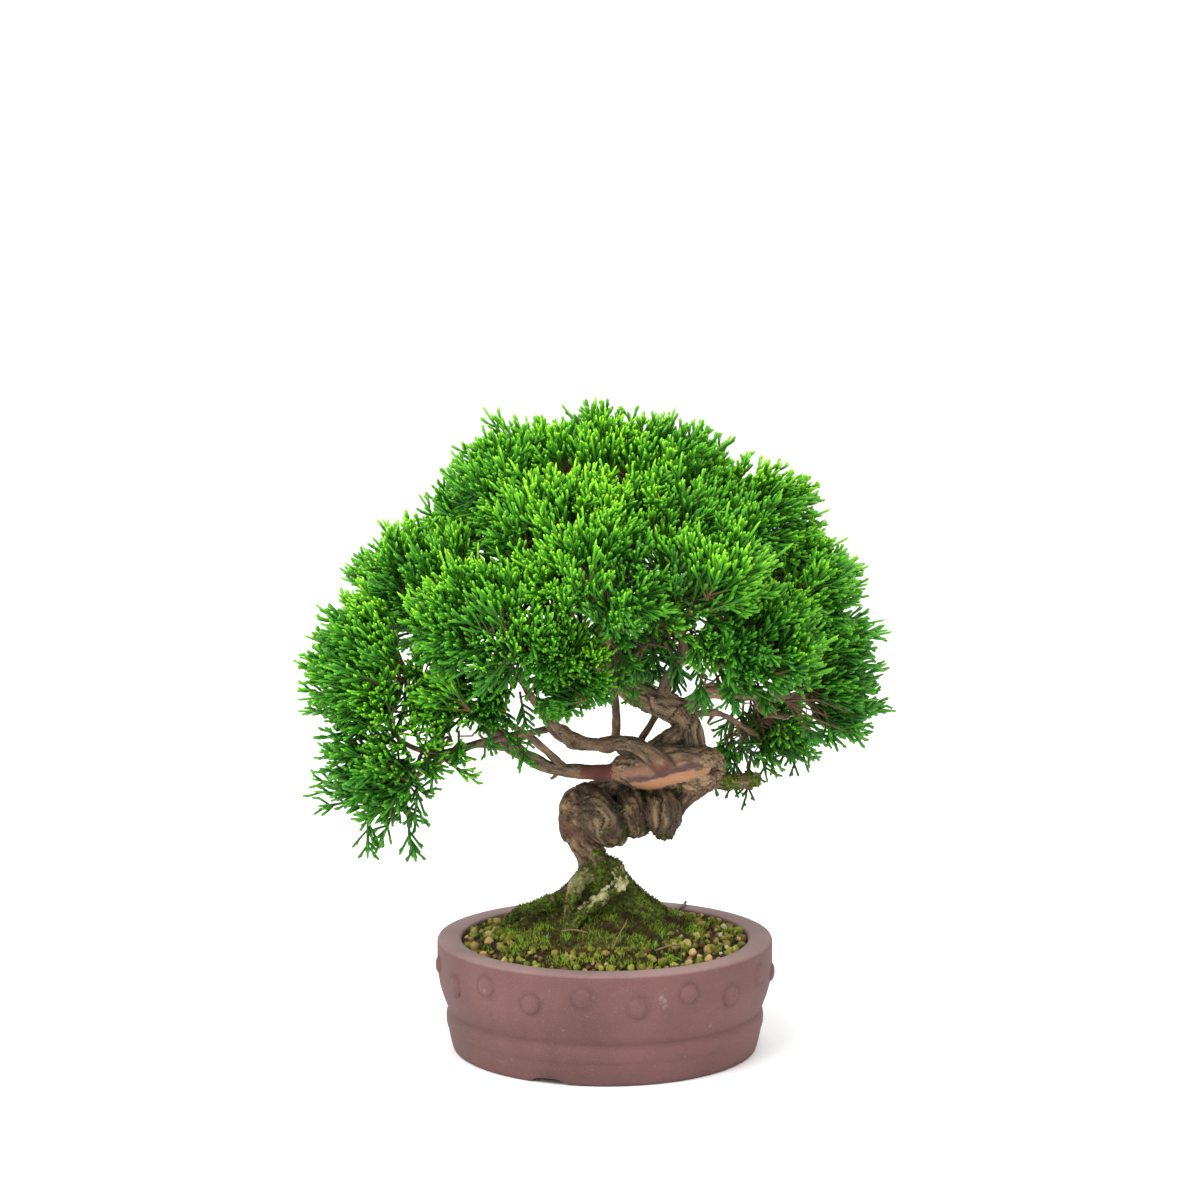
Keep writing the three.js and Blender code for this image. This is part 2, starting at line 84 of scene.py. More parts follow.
camera_data.lens = 90
camera_data.sensor_width = 36
camera = bpy.data.objects.new("camera", camera_data)
camera.location = (-0.00268, -1.5789, 0.4341)
camera.rotation_euler = (math.radians(90 - camera_tilt), 0, 0)
in_scene.link(camera)
bpy.context.scene.camera = camera
bpy.context.scene.view_settings.view_transform = "Standard"


def fit(tree, made, **values):
    """Sets or joins each named socket of a shader node, or sets its property of that name."""
    for key, value in values.items():
        label = key.replace("_", " ")
        if label not in made.inputs:
            setattr(made, key, value)
        elif isinstance(value, bpy.types.NodeSocket):
            tree.links.new(value, made.inputs[label])
        else:
            made.inputs[label].default_value = value


def node(tree, kind, take=0, **values):
    """One output of a new shader node."""
    made = tree.nodes.new("ShaderNode" + kind)
    fit(tree, made, **values)
    return made.outputs[take]


def mix(tree, share, *colours, **more):
    """A mix of two colours, each an (r, g, b) or an output."""
    first, second = [(*colour, 1) if isinstance(colour, tuple) else colour for colour in colours]
    return node(tree, "MixRGB", Fac=share, Color1=first, Color2=second, **more)


def new_material(name):
    """A new material and its node tree."""
    material = bpy.data.materials.new(name)
    material.use_nodes = True
    return material, material.node_tree


def finish(tree, **values):
    """Sets or joins sockets of the material's Principled BSDF."""
    fit(tree, tree.nodes["Principled BSDF"], **values)


table_top, tree = new_material("pale_table")
finish(tree, Roughness=0.7, Base_Color=mix(
    tree, node(tree, "TexNoise", Scale=3.0, Detail=4.0),
    (0.955, 0.955, 0.957), (0.965, 0.965, 0.966)))
table_mesh = bpy.data.meshes.new("table")
corners = ((-1, -1), (1, -1), (1, 1), (-1, 1))
table_mesh.from_pydata([(x * floor_reach, y * floor_reach, 0) for x, y in corners], [], [(0, 1, 2, 3)])
table_mesh.materials.append(table_top)
table = bpy.data.objects.new("table", table_mesh)
in_scene.link(table)

room = bpy.data.worlds.new("white_room")
room.use_nodes = True
fit(room.node_tree, room.node_tree.nodes["Background"], Color=(1, 1, 1, 1), Strength=room_light)
bpy.context.scene.world = room
for place, power in lamps:
    lamp_data = bpy.data.lights.new("soft_lamp", "AREA")
    lamp_data.energy = power
    lamp_data.size = lamp_size
    lamp = bpy.data.objects.new("soft_lamp", lamp_data)
    lamp.location = place
    lamp.rotation_euler = (Vector((0, 0, 0.2)) - Vector(place)).to_track_quat("-Z", "Y").to_euler()
    in_scene.link(lamp)

# Pot: a thick drum turned in brown unglazed stoneware, fired, with two rows of pressed-on studs, a
# waist above a heavier foot, and three arches cut into the foot. Each row's depth and first angle.
pot_height = 60
rim_radius = 90
rim_inner = 76.8
pot_sides = 320
stud_rows = ((11.8, -7.5), (16.8, 10.7))
studs_per_row = 10
stud_sides = 24
stud_sunk = 0.15
stud_shade_ring = 5.8
stud_outline = ((5.9, -0.6), (5.1, 0.1), (4.5, 0.6), (3.7, 1.15), (2.6, 1.6), (1.1, 1.85))
arch_angles = (-21, 99, 219)
arch_half = 11
arch_height = 3
foot_top = 3.9
waist_height = 22.5
# Scuffs: angle, height and reach.
scuffs = ((-43, 47, 2.5), (-4, 49, 3), (19, 47, 7), (40, 25, 8), (12, 15, 4), (86, 60, 4))
pot_outline = (
    (9, 12), (74, 12), (75.6, 12.6), (76.1, 14), (76.8, 58.4), (77.3, 59.5), (78.4, 60), (88.2, 60),
    (89.4, 59.6), (89.9, 58.6), (90, 57), *[(90, z) for z in range(55, 44, -1)], (89.9, 44), (89.83, 42.9),
    (89.74, 41.9), (89.6, 40.9), (89.43, 39.9), (89.25, 38.9), (89.0, 37.4), (88.8, 36), (87.4, 31),
    (85.6, 26), (84.5, 23.8), (84.2, 22.6), (84.5, 21.2), (85.1, 19.8), (85.3, 18), (85.2, 15),
    (84.8, 13.2), (84.3, 12.5), (84.2, 11.6), (83.6, 8), (82.4, 3), (81.7, 0.8), (80.6, 0), (75.6, 0),
    (74.8, 0.8), (73, 4), (9, 4),
)


def around_pot(degrees):
    """The unit vectors at angles round the pot, counted from the front towards +X."""
    angle = np.radians(degrees)
    return np.stack([np.sin(angle), -np.cos(angle), np.zeros_like(angle)], -1)


def grid_faces(rows, sides):
    """Four-sided faces between each ring of points and the next."""
    row, column = np.meshgrid(np.arange(rows), np.arange(sides), indexing="ij")
    here, beside = row * sides + column, row * sides + (column + 1) % sides
    return here, beside, beside + sides, here + sides


def turned(outline, sides):
    """The points and faces of a closed outline of (radius, height) turned round Z."""
    outline = np.asarray(outline, float)
    out = around_pot(np.arange(sides) * 360 / sides)
    points = outline[:, None, :1] * out + outline[:, None, 1:] * np.array([0, 0, 1.0])
    here, beside, beyond, above = grid_faces(len(outline), sides)
    return points, (np.stack([here, above, beyond, beside], -1) % (len(outline) * sides)).reshape(-1, 4)


wall, wall_faces = turned(pot_outline, pot_sides)
wall_angles = np.arange(pot_sides) * 360 / pot_sides
for degrees in arch_angles:
    across = rim_radius * np.radians((wall_angles - degrees + 180) % 360 - 180)
    lift = arch_height * np.sqrt(np.clip(1 - (across / arch_half) ** 2, 0, 1))
    wall[..., 2] = np.where(wall[..., 2] < foot_top, np.maximum(wall[..., 2], lift), wall[..., 2])
hand_turned = 0.25 * np.sin(3 * np.radians(wall_angles) + 1.2)
wall[..., :2] += around_pot(wall_angles)[:, :2] * hand_turned[:, None]
pot_points = [wall.reshape(-1, 3)]
pot_faces = [wall_faces]
stud_seats = []
stud_turn = np.arange(stud_sides) * 2 * math.pi / stud_sides
for depth, first in stud_rows:
    for k in range(studs_per_row):
        out = around_pot(np.array(first + 360 / studs_per_row * k))
        ring = (np.cos(stud_turn)[:, None] * np.cross([0, 0, 1.0], out)
                + np.sin(stud_turn)[:, None] * np.array([0, 0, 1.0]))
        start = sum(len(group) for group in pot_points)
        seat = out * (rim_radius - stud_sunk) + np.array([0, 0, pot_height - depth])
        stud_seats.append(seat)
        uneven = (1 + 0.07 * np.sin(2 * stud_turn + first + 1.7 * k)[:, None]
                  + 0.03 * np.sin(5 * stud_turn + 2.3 * k)[:, None])
        worn_down = 0.85 + 0.2 * math.sin(first + 2.6 * k)
        cap = [seat + radius * uneven * ring + height * worn_down * out for radius, height in stud_outline]
        pot_points.append(np.concatenate([*cap, [seat + out * stud_outline[-1][1] * worn_down]]))
        rows = len(stud_outline) - 1
        pot_faces.append(start + np.stack(grid_faces(rows, stud_sides), -1).reshape(-1, 4))
        last, beside = [start + group[rows] for group in grid_faces(rows + 1, stud_sides)[:2]]
        pot_faces.append(np.stack([last, beside, np.full(stud_sides, start + (rows + 1) * stud_sides)], -1))
pot_points = np.concatenate(pot_points)
# Painted shade: a dark ring round the foot of each stud, broken up by noise, and a dark band in the groove at
# the waist.
from_stud = np.min([np.linalg.norm(pot_points - seat, axis=1) for seat in stud_seats], axis=0)
patchy_shade = np.array([noise.noise(Vector(point) * 0.11) for point in pot_points])
patchy_shade = np.clip(0.75 + 0.8 * patchy_shade, 0, 1)
stud_and_waist_shade = np.clip(1 - np.abs(from_stud - stud_shade_ring) / 2, 0, 1) * (pot_points[:, 2] > 36) * patchy_shade
stud_and_waist_shade = np.maximum(stud_and_waist_shade, 0.8 * np.clip(1 - np.abs(pot_points[:, 2] - waist_height) / 2.2, 0, 1))
outside = np.hypot(pot_points[:, 0], pot_points[:, 1]) > rim_inner + 4
scuffed = np.zeros(len(pot_points))
for degrees, height, reach in scuffs:
    place = around_pot(np.array(float(degrees))) * rim_radius + [0, 0, height]
    near = np.clip(1 - np.linalg.norm(pot_points - place, axis=1) / reach, 0, 1)
    scuffed = np.maximum(scuffed, outside * near)


def scaled(tree, value, low=0.0, high=1.0, start=0.0, end=1.0):
    """A value from the range of low to high, laid over the range of start to end."""
    return node(tree, "MapRange", Value=value, From_Min=low, From_Max=high, To_Min=start, To_Max=end)


def combine(tree, operation, *terms):
    """A Math node's output for some terms, each a number or an output."""
    made = tree.nodes.new("ShaderNodeMath")
    made.operation = operation
    for socket, term in zip(made.inputs, terms):
        if isinstance(term, bpy.types.NodeSocket):
            tree.links.new(term, socket)
        else:
            socket.default_value = term
    return made.outputs[0]


mottle = bpy.data.node_groups.new("mottle", "ShaderNodeTree")
for label, side, kind in (("Vector", "INPUT", "Vector"), ("Patches", "INPUT", "Float"),
                          ("Grain", "INPUT", "Float"), ("Patch", "OUTPUT", "Float"),
                          ("Speck", "OUTPUT", "Float"), ("Height", "OUTPUT", "Float")):
    mottle.interface.new_socket(label, in_out=side, socket_type="NodeSocket" + kind)
mottle_place, mottle_patches, mottle_grain = mottle.nodes.new("NodeGroupInput").outputs[:3]
patch_noise = node(mottle, "TexNoise", Vector=mottle_place, Scale=mottle_patches, Detail=5.0, Roughness=0.6)
grain_noise = node(mottle, "TexNoise", Vector=mottle_place, Scale=mottle_grain, Detail=3.0, Roughness=0.7)
fit(mottle, mottle.nodes.new("NodeGroupOutput"), Patch=scaled(mottle, patch_noise, 0.35, 0.65),
    Speck=scaled(mottle, grain_noise, 0.6, 0.72),
    Height=combine(mottle, "MULTIPLY_ADD", patch_noise, 0.4, grain_noise))


def add_mottle(tree, patches, grain):
    """The place on the piece, and the patches, specks and height of a mottling at that place."""
    place = node(tree, "TexCoord", "Object")
    made = tree.nodes.new("ShaderNodeGroup")
    made.node_tree = mottle
    fit(tree, made, Vector=place, Patches=patches, Grain=grain)
    return place, *made.outputs


def painted(tree, label):
    """The red, green, blue and alpha of a colour that the mesh's points carry."""
    colour = tree.nodes.new("ShaderNodeAttribute")
    colour.attribute_name = label
    split = tree.nodes.new("ShaderNodeSeparateColor")
    tree.links.new(colour.outputs["Color"], split.inputs["Color"])
    return *split.outputs, colour.outputs["Alpha"]


def bump(tree, height, strength, distance):
    """A normal for a height, at a strength and a depth in metres."""
    return node(tree, "Bump", Height=height, Strength=strength, Distance=distance)


def add_piece(name, points, faces, material, slot, **colours):
    """A mesh from millimetre points and arrays of faces, riding on the tree's one body."""
    mesh = bpy.data.meshes.new(name)
    points = np.asarray(points, float).reshape(-1, 3) * 0.001
    corners = np.concatenate([np.ravel(group) for group in faces])
    sizes = np.concatenate([np.full(len(group), group.shape[1]) for group in faces])
    mesh.vertices.add(len(points))
    mesh.vertices.foreach_set("co", points.ravel())
    mesh.loops.add(len(corners))
    mesh.loops.foreach_set("vertex_index", corners)
    mesh.polygons.add(len(sizes))
    mesh.polygons.foreach_set("loop_start", np.cumsum(sizes) - sizes)
    mesh.update(calc_edges=True)
    mesh.polygons.foreach_set("use_smooth", np.full(len(sizes), True))
    for label, colour in colours.items():
        padded = np.ones((len(points), 4))
        padded[:, :colour.shape[1]] = colour
        mesh.attributes.new(label, "FLOAT_COLOR", "POINT").data.foreach_set("color", padded.ravel())
    mesh.materials.append(material)
    piece = bpy.data.objects.new(name, mesh)
    in_scene.link(piece)
    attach(piece, "root")
    return piece


clay, tree = new_material("brown_stoneware")
clay_place, clay_patch, clay_speck, clay_lumps = add_mottle(tree, 16.0, 1400.0)
clay_painted_shade, clay_scuffs = painted(tree, "worn")[:2]
clay_body = mix(tree, clay_patch, (0.112, 0.049, 0.045), (0.173, 0.079, 0.072))
clay_body = mix(tree, combine(tree, "MULTIPLY", clay_speck, 0.5), clay_body, (0.36, 0.24, 0.22))
# Painted shade round the studs and in the waist groove darkens the clay.
clay_body = mix(tree, clay_painted_shade, clay_body, mix(tree, 0.42, clay_body, (0.05, 0.02, 0.018)))
scuff_noise = node(tree, "TexNoise", Vector=clay_place, Scale=150.0, Detail=8.0, Roughness=0.8)
scuff_sum = combine(tree, "MULTIPLY_ADD", clay_scuffs, 0.24, scuff_noise)
clay_body = mix(tree, scaled(tree, scuff_sum, 0.62, 0.8, 0, 0.55), clay_body, (0.5, 0.42, 0.4))
on_rim = scaled(tree, node(tree, "SeparateXYZ", "Z", Vector=clay_place), 0.0585, 0.0602)
rim_dust = mix(tree, clay_patch, (0.235, 0.141, 0.132), (0.345, 0.225, 0.21))
turning = node(tree, "TexWave", "Fac", Vector=clay_place, bands_direction="Z", Scale=260.0,
               Distortion=1.5)
clay_relief = combine(tree, "MULTIPLY_ADD", turning, 0.12, clay_lumps)
finish(tree, Specular_IOR_Level=0.35, Base_Color=mix(tree, on_rim, clay_body, rim_dust),
       Roughness=scaled(tree, clay_patch, 0, 1, 0.62, 0.78),
       Normal=bump(tree, clay_relief, 0.6, 0.0006))

pot = add_piece("drum_pot", pot_points, pot_faces, clay, "clay", worn=np.stack([stud_and_waist_shade, scuffed], -1))
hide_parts("pot")

# Drain mesh, its clip and the tie wire: black plastic netting over the drain hole, held by a bent
# wire, and a brown aluminium wire that ties the roots down and ends over the back of the rim.
wire_radius = 0.8
wire_foot = 4 - 0.3 - wire_radius
wire_rest = pot_height + 0.3 + wire_radius
netting, tree = new_material("black_netting")
_, netting_patch, netting_speck, _ = add_mottle(tree, 90.0, 900.0)
finish(tree, Specular_IOR_Level=0.4, Roughness=scaled(tree, netting_speck, 0, 1, 0.45, 0.8),
       Base_Color=mix(tree, netting_patch, (0.012, 0.012, 0.013), (0.035, 0.03, 0.025)))
anodised, tree = new_material("brown_anodised_wire")
anodised_patch = add_mottle(tree, 120.0, 1600.0)[1]
finish(tree, Metallic=0.85, Roughness=scaled(tree, anodised_patch, 0, 1, 0.35, 0.6),
       Base_Color=mix(tree, anodised_patch, (0.045, 0.03, 0.022), (0.11, 0.075, 0.05)))
for part, material in (("drain_mesh", netting), ("mesh_clip", anodised)):
    frame["nodes"][part].data.materials.clear()
    frame["nodes"][part].data.materials.append(material)


def smooth_route(stations, step):
    """Rows at even steps along a smooth curve through stations, whose first three columns are x, y, z."""
    stations = np.asarray(stations, float)
    gaps = np.linalg.norm(np.diff(stations[:, :3], axis=0), axis=1)
    spans = np.diff(np.concatenate([[0], np.cumsum(np.sqrt(gaps))]))[:, None]
    slopes = np.diff(stations, axis=0) / spans
    inner = (slopes[:-1] * spans[1:] + slopes[1:] * spans[:-1]) / (spans[1:] + spans[:-1])
    tangents = np.concatenate([slopes[:1], inner, slopes[-1:]])
    rows = []
    for k, span in enumerate(spans[:, 0]):
        t = np.linspace(0, 1, max(4, int(gaps[k] * 2)), endpoint=False)[:, None]
        rows.append(
            (2 * t**3 - 3 * t**2 + 1) * stations[k] + (t**3 - 2 * t**2 + t) * span * tangents[k]
            + (3 * t**2 - 2 * t**3) * stations[k + 1] + (t**3 - t**2) * span * tangents[k + 1])
    rows = np.concatenate([*rows, stations[-1:]])
    run = np.concatenate([[0], np.cumsum(np.linalg.norm(np.diff(rows[:, :3], axis=0), axis=1))])
    even = np.linspace(0, run[-1], max(3, int(run[-1] / step) + 1))
    return np.stack([np.interp(even, run, column) for column in rows.T], -1), even


def sweep(centres, radii, sides, section=None):
    """A closed tube of rings round the centres, turned as little as possible from ring to ring."""
    ahead = np.gradient(centres, axis=0)
    ahead /= np.linalg.norm(ahead, axis=1, keepdims=True)
    across = np.cross(ahead[0], [0, 0, 1.0] if abs(ahead[0][2]) < 0.9 else [1.0, 0, 0])
    turn = np.arange(sides) * 2 * math.pi / sides
    rings = []
    for k, forward in enumerate(ahead):
        across = across - forward * across.dot(forward)
        across /= np.linalg.norm(across)
        above = np.cross(forward, across)
        reach = radii[k] * (1 if section is None else section(turn, k))
        ring = np.cos(turn)[:, None] * across + np.sin(turn)[:, None] * above
        rings.append(centres[k] + ring * np.reshape(reach, (-1, 1)))
    points = np.concatenate([*rings, centres[:1], centres[-1:]])
    walls = np.stack(grid_faces(len(rings) - 1, sides), -1).reshape(-1, 4)
    ring, end = np.arange(sides), len(rings) * sides
    beside = (ring + 1) % sides
    caps = [np.stack([beside, ring, np.full(sides, end)], -1),
            np.stack([end - sides + ring, end - sides + beside, np.full(sides, end + 1)], -1)]
    return points, [walls, np.concatenate(caps)]


wire_route, _ = smooth_route(
    [(-15, 2, wire_foot), (-3, 2, wire_foot), (0, 2, wire_foot + 3), (0, 2, 17), (4, 7, 24), (18, 28, 32),
     (32, 46, 40), (39.5, 56, 50), (41.8, 60, wire_rest - 0.9), (43.4, 64.8, wire_rest + 0.3),
     (44.6, 71, wire_rest), (45.6, 77, wire_rest)], 1.0)
wire_mesh = sweep(wire_route, np.full(len(wire_route), wire_radius), 16)
tie_wire = add_piece("root_tie_wire", *wire_mesh, anodised, "wire")
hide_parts("tie_wire")

# Soil: akadama, fired-clay granules of 4 to 6 mm, sieved and filled to just under the rim, mounded
# up to the trunk. Algae has greened many of them, and a few are pale pumice.
soil_edge = 57
soil_crown = 66
soil_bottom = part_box("soil")[0].z * 1000
bed_sides = 120
granule_spacing = 3.8
granule_tries = 9000
granule_inner = 34
granule_outer = rim_inner - 2.2
granule_cuts = 9
granule_cut_at = 0.68
dice = np.random.default_rng(11)


def soil_height(radius):
    """How high the soil stands at a distance from the pot's middle."""
    return soil_edge + (soil_crown - soil_edge) * (1 - (radius / rim_inner) ** 2)


bed_radii = np.linspace(0, rim_inner - 0.5, 40)[:0:-1]
bed_outline = [(1, soil_bottom), (75.4, soil_bottom), (76.2, soil_edge - 2)]
bed_outline += [(radius, soil_height(radius) - 0.6) for radius in bed_radii]
bed, bed_faces = turned(bed_outline, bed_sides)
bed_top = bed[3:]
bed_top[..., 2] += 0.7 * np.sin(bed_top[..., 0] * 1.9) * np.sin(bed_top[..., 1] * 2.1 + 1)
bed_points = bed.reshape(-1, 3)

stone = bmesh.new()
bmesh.ops.create_icosphere(stone, subdivisions=2, radius=1)
stone_points = np.array([v.co for v in stone.verts])
stone_faces = np.array([[v.index for v in f.verts] for f in stone.faces])
stone.free()

seats = []
for _ in range(granule_tries):
    radius = math.sqrt(dice.uniform(granule_inner**2, granule_outer**2))
    angle = dice.uniform(0, 2 * math.pi)
    seat = np.array([radius * math.cos(angle), radius * math.sin(angle)])
    if not seats or np.min(np.hypot(*(np.array(seats) - seat).T)) > granule_spacing:
        seats.append(seat)
seats = np.array(seats)


def moss_patches(places):
    """Where moss spreads over the soil, from about -0.5 to 0.5."""
    return np.array([noise.noise(Vector((x, y, 3)) * 0.075) for x, y in places])


seats = seats[moss_patches(seats) < 0.16 + 0.5 * (np.hypot(*seats.T) > 70)]
granules = len(seats)
half_sizes = dice.uniform(1.1, 3.3, (granules, 1, 1)) * dice.uniform(0.65, 1.15, (granules, 1, 3))
cut_planes = dice.normal(size=(granules, granule_cuts, 3))
cut_planes /= np.linalg.norm(cut_planes, axis=2, keepdims=True)
lumps = np.repeat(stone_points[None], granules, axis=0)
for k in range(granule_cuts):
    plane = cut_planes[:, k, None, :]
    lumps = lumps - np.clip((lumps * plane).sum(-1, keepdims=True) - granule_cut_at, 0, None) * plane
lumps = lumps * half_sizes + dice.normal(scale=0.19, size=lumps.shape)
lumps[..., :2] += seats[:, None]
lumps[..., 2] += (soil_height(np.hypot(*seats.T)) + dice.uniform(-0.2, 1.3, granules))[:, None]
stone_index = np.arange(granules)[:, None, None] * len(stone_points) + stone_faces
granule_tone = np.repeat(dice.random((granules, 2)), len(stone_points), axis=0)
granule_drift = 0.2 + 0.2 * np.sin(lumps.reshape(-1, 3)[:, 0] * 0.09)
granule_tone[:, 1] = np.clip(granule_tone[:, 1] + granule_drift, 0, 1.2)


def ramp(tree, value, *stops):
    """A value's colour on a ramp of (position, (r, g, b)) stops."""
    made = tree.nodes.new("ShaderNodeValToRGB")
    tree.links.new(value, made.inputs["Fac"])
    elements = made.color_ramp.elements
    while len(elements) < len(stops):
        elements.new(0.5)
    for element, (position, colour) in zip(elements, stops):
        element.position = position
        element.color = (*colour, 1)
    return made.outputs["Color"]


granule_clay, tree = new_material("fired_clay_granules")
granule_place, granule_patch, granule_pores, granule_height = add_mottle(tree, 260.0, 1500.0)
granule_fired, granule_greened = painted(tree, "tone")[:2]
granule_colour = ramp(tree, granule_fired,
                      (0.0, (0.02, 0.015, 0.006)), (0.2, (0.09, 0.05, 0.015)), (0.5, (0.29, 0.17, 0.05)),
                      (0.75, (0.52, 0.34, 0.11)), (0.95, (0.72, 0.5, 0.2)), (0.985, (0.66, 0.6, 0.42)))
algae_noise = node(tree, "TexNoise", Vector=granule_place, Scale=120.0, Detail=4.0)
algae = scaled(tree, combine(tree, "ADD", algae_noise, granule_greened), 0.95, 1.4, 0, 0.88)
granule_colour = mix(tree, algae, granule_colour,
                     mix(tree, granule_patch, (0.07, 0.12, 0.01), (0.42, 0.46, 0.05)))
finish(tree, Specular_IOR_Level=0.25, Roughness=scaled(tree, granule_patch, 0, 1, 0.8, 0.98),
       Base_Color=mix(tree, granule_pores, granule_colour, (0.05, 0.035, 0.012)),
       Normal=bump(tree, granule_height, 0.9, 0.001))

# The bed under the granules takes a very dark tone: painted shade in the gaps between the granules.
soil = add_piece("akadama_soil", np.concatenate([bed_points, lumps.reshape(-1, 3)]),
                 [bed_faces, stone_index.reshape(-1, 3) + len(bed_points)], granule_clay, "granules",
                 tone=np.concatenate([np.full((len(bed_points), 2), 0.05), granule_tone]))
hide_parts("soil")

# Wood: root flare, corkscrew trunk and wired branches, grown as one. Ridges of bark follow the
# grain, a live vein is peeled bare on the front, and moss climbs the roots. Each station is x, y, z
# and half width.
trunk_limbs = [
    [(4, 0, 44, 20), (4, 0, 60, 19), (3, 0, 76, 15), (-1, 0, 90, 10.4), (-5, 0, 98, 8.8), (-8, 0, 105, 7.8),
     (-12, 1, 113, 8.8), (-13, 3, 122, 9)],
    [(-6, 2, 137, 6.5), (6, 2, 142, 6.5), (18, 0, 147, 7)],
    [(-8, 5, 126, 8.5), (14, 6, 127, 6.5), (31, 6, 129, 7), (42, 5, 138, 8), (50, 4, 148, 10)],
    [(64, 3, 149.5, 3.5), (61.8, 3, 149.8, 7.6), (57.5, 3, 150, 11), (50, 1, 150.5, 12.9), (41, -2, 153, 11),
     (33, -4, 152.8, 11.3), (25, -6, 151.3, 11.3), (17, -7, 151.3, 9.8), (10, -7.5, 152, 7.8),
     (4, -7, 152.5, 5.4)],
    [(47, 4, 150, 9.5), (45.8, 5, 161, 8), (45, 6, 171, 7.7), (41, 6, 179, 7.6), (33, 5, 184, 7.3),
     (25, 5, 187, 7.2), (17, 6, 191, 7.2), (10, 6, 197, 6.8), (4, 7, 206, 6), (0, 9, 218, 5.2),
     (-1, 10, 234, 4.6), (2, 12, 254, 4), (-3, 12, 280, 3)],
    [(20, -2, 155, 6), (28, 2, 161, 6.5), (37, 5, 166, 7), (45, 6, 171, 7)],
]
burls = [
    [(-17, -3, 131, 6), (-22, -7, 131.5, 3.4)], [(-20, -2, 121, 6), (-23.5, -4, 120, 3)],
    [(-16, -3, 126, 8), (-19.5, -4.5, 126, 6.5)], [(46, -3, 144, 7), (51, -6, 139.5, 4)],
    [(12, -7, 123, 4), (16, -11.5, 119, 3), (21, -11, 117.5, 2)], [(33, -7, 122, 6), (37, -10, 119, 3.4)],
]
corkscrew = [
    (-13, 2, 113, 9.4), (-15, 6, 122, 10), (-14, 5, 131, 9.6), (-10, -2, 134.5, 9), (-5, -9, 130, 11),
    (1, -10, 122, 10.6), (4.5, -4, 117, 8), (6, 5, 117, 7), (9.5, 8, 126, 6.6), (12, 4, 133.5, 6.4),
    (13, -3, 135.5, 6.4), (14.3, -9, 130, 6.8), (15.5, -8.5, 122.5, 6.6), (17, -2, 119.5, 6.2),
    (19.5, 5, 121, 6.6), (22, 7.5, 128.5, 7.4), (25.5, 3, 133.5, 8), (29, -4, 132.5, 9),
    (31, -9.5, 128, 10.2), (31.3, -8, 122.8, 8.6), (32, -1, 122, 7.6), (33.5, 5, 126, 7.8),
    (38, 6, 134, 8.4), (46, 4, 143, 10), (52, 4, 149, 11),
]
root_limbs = [
    [(-9, -3, 95, 5), (-16.6, -3, 86.5, 4.6), (-26, -2, 80, 4.2), (-36, 2, 75.5, 3.6), (-46, 8, 71, 3.2),
     (-56, 14, 60, 2.4)],
    [(1, -3, 101, 4.6), (7, -9, 97.5, 3.9), (8.8, -13, 92.5, 3.3), (5, -16, 88, 3.6), (-1.3, -19, 84.5, 3.0),
     (-7.6, -22.5, 81, 3.3), (-14, -28, 75, 2.5), (-22, -34, 60, 2.4)],
    [(-6, -5, 98, 4.4), (-11.5, -9, 94, 4.0), (-15, -13, 90, 4.3), (-17.5, -18, 85, 3.6), (-19, -24, 78, 3.4),
     (-21, -31, 60, 2.8)],
    [(-6, 0, 97, 7), (-11, -1, 87, 7.5), (-16, -2, 77, 8)],
    [(6, -2, 92, 6.5), (12, -5, 84, 6.5), (19, -9, 76, 6), (28, -13, 68, 5), (38, -16, 56, 3.4)],
    [(0, 6, 92, 7), (-4, 20, 78, 6), (-9, 34, 67, 4.4), (-12, 46, 54, 3)],
    [(4, 6, 90, 7), (18, 16, 76, 6), (30, 26, 66, 4.6), (39, 34, 54, 3)],
]
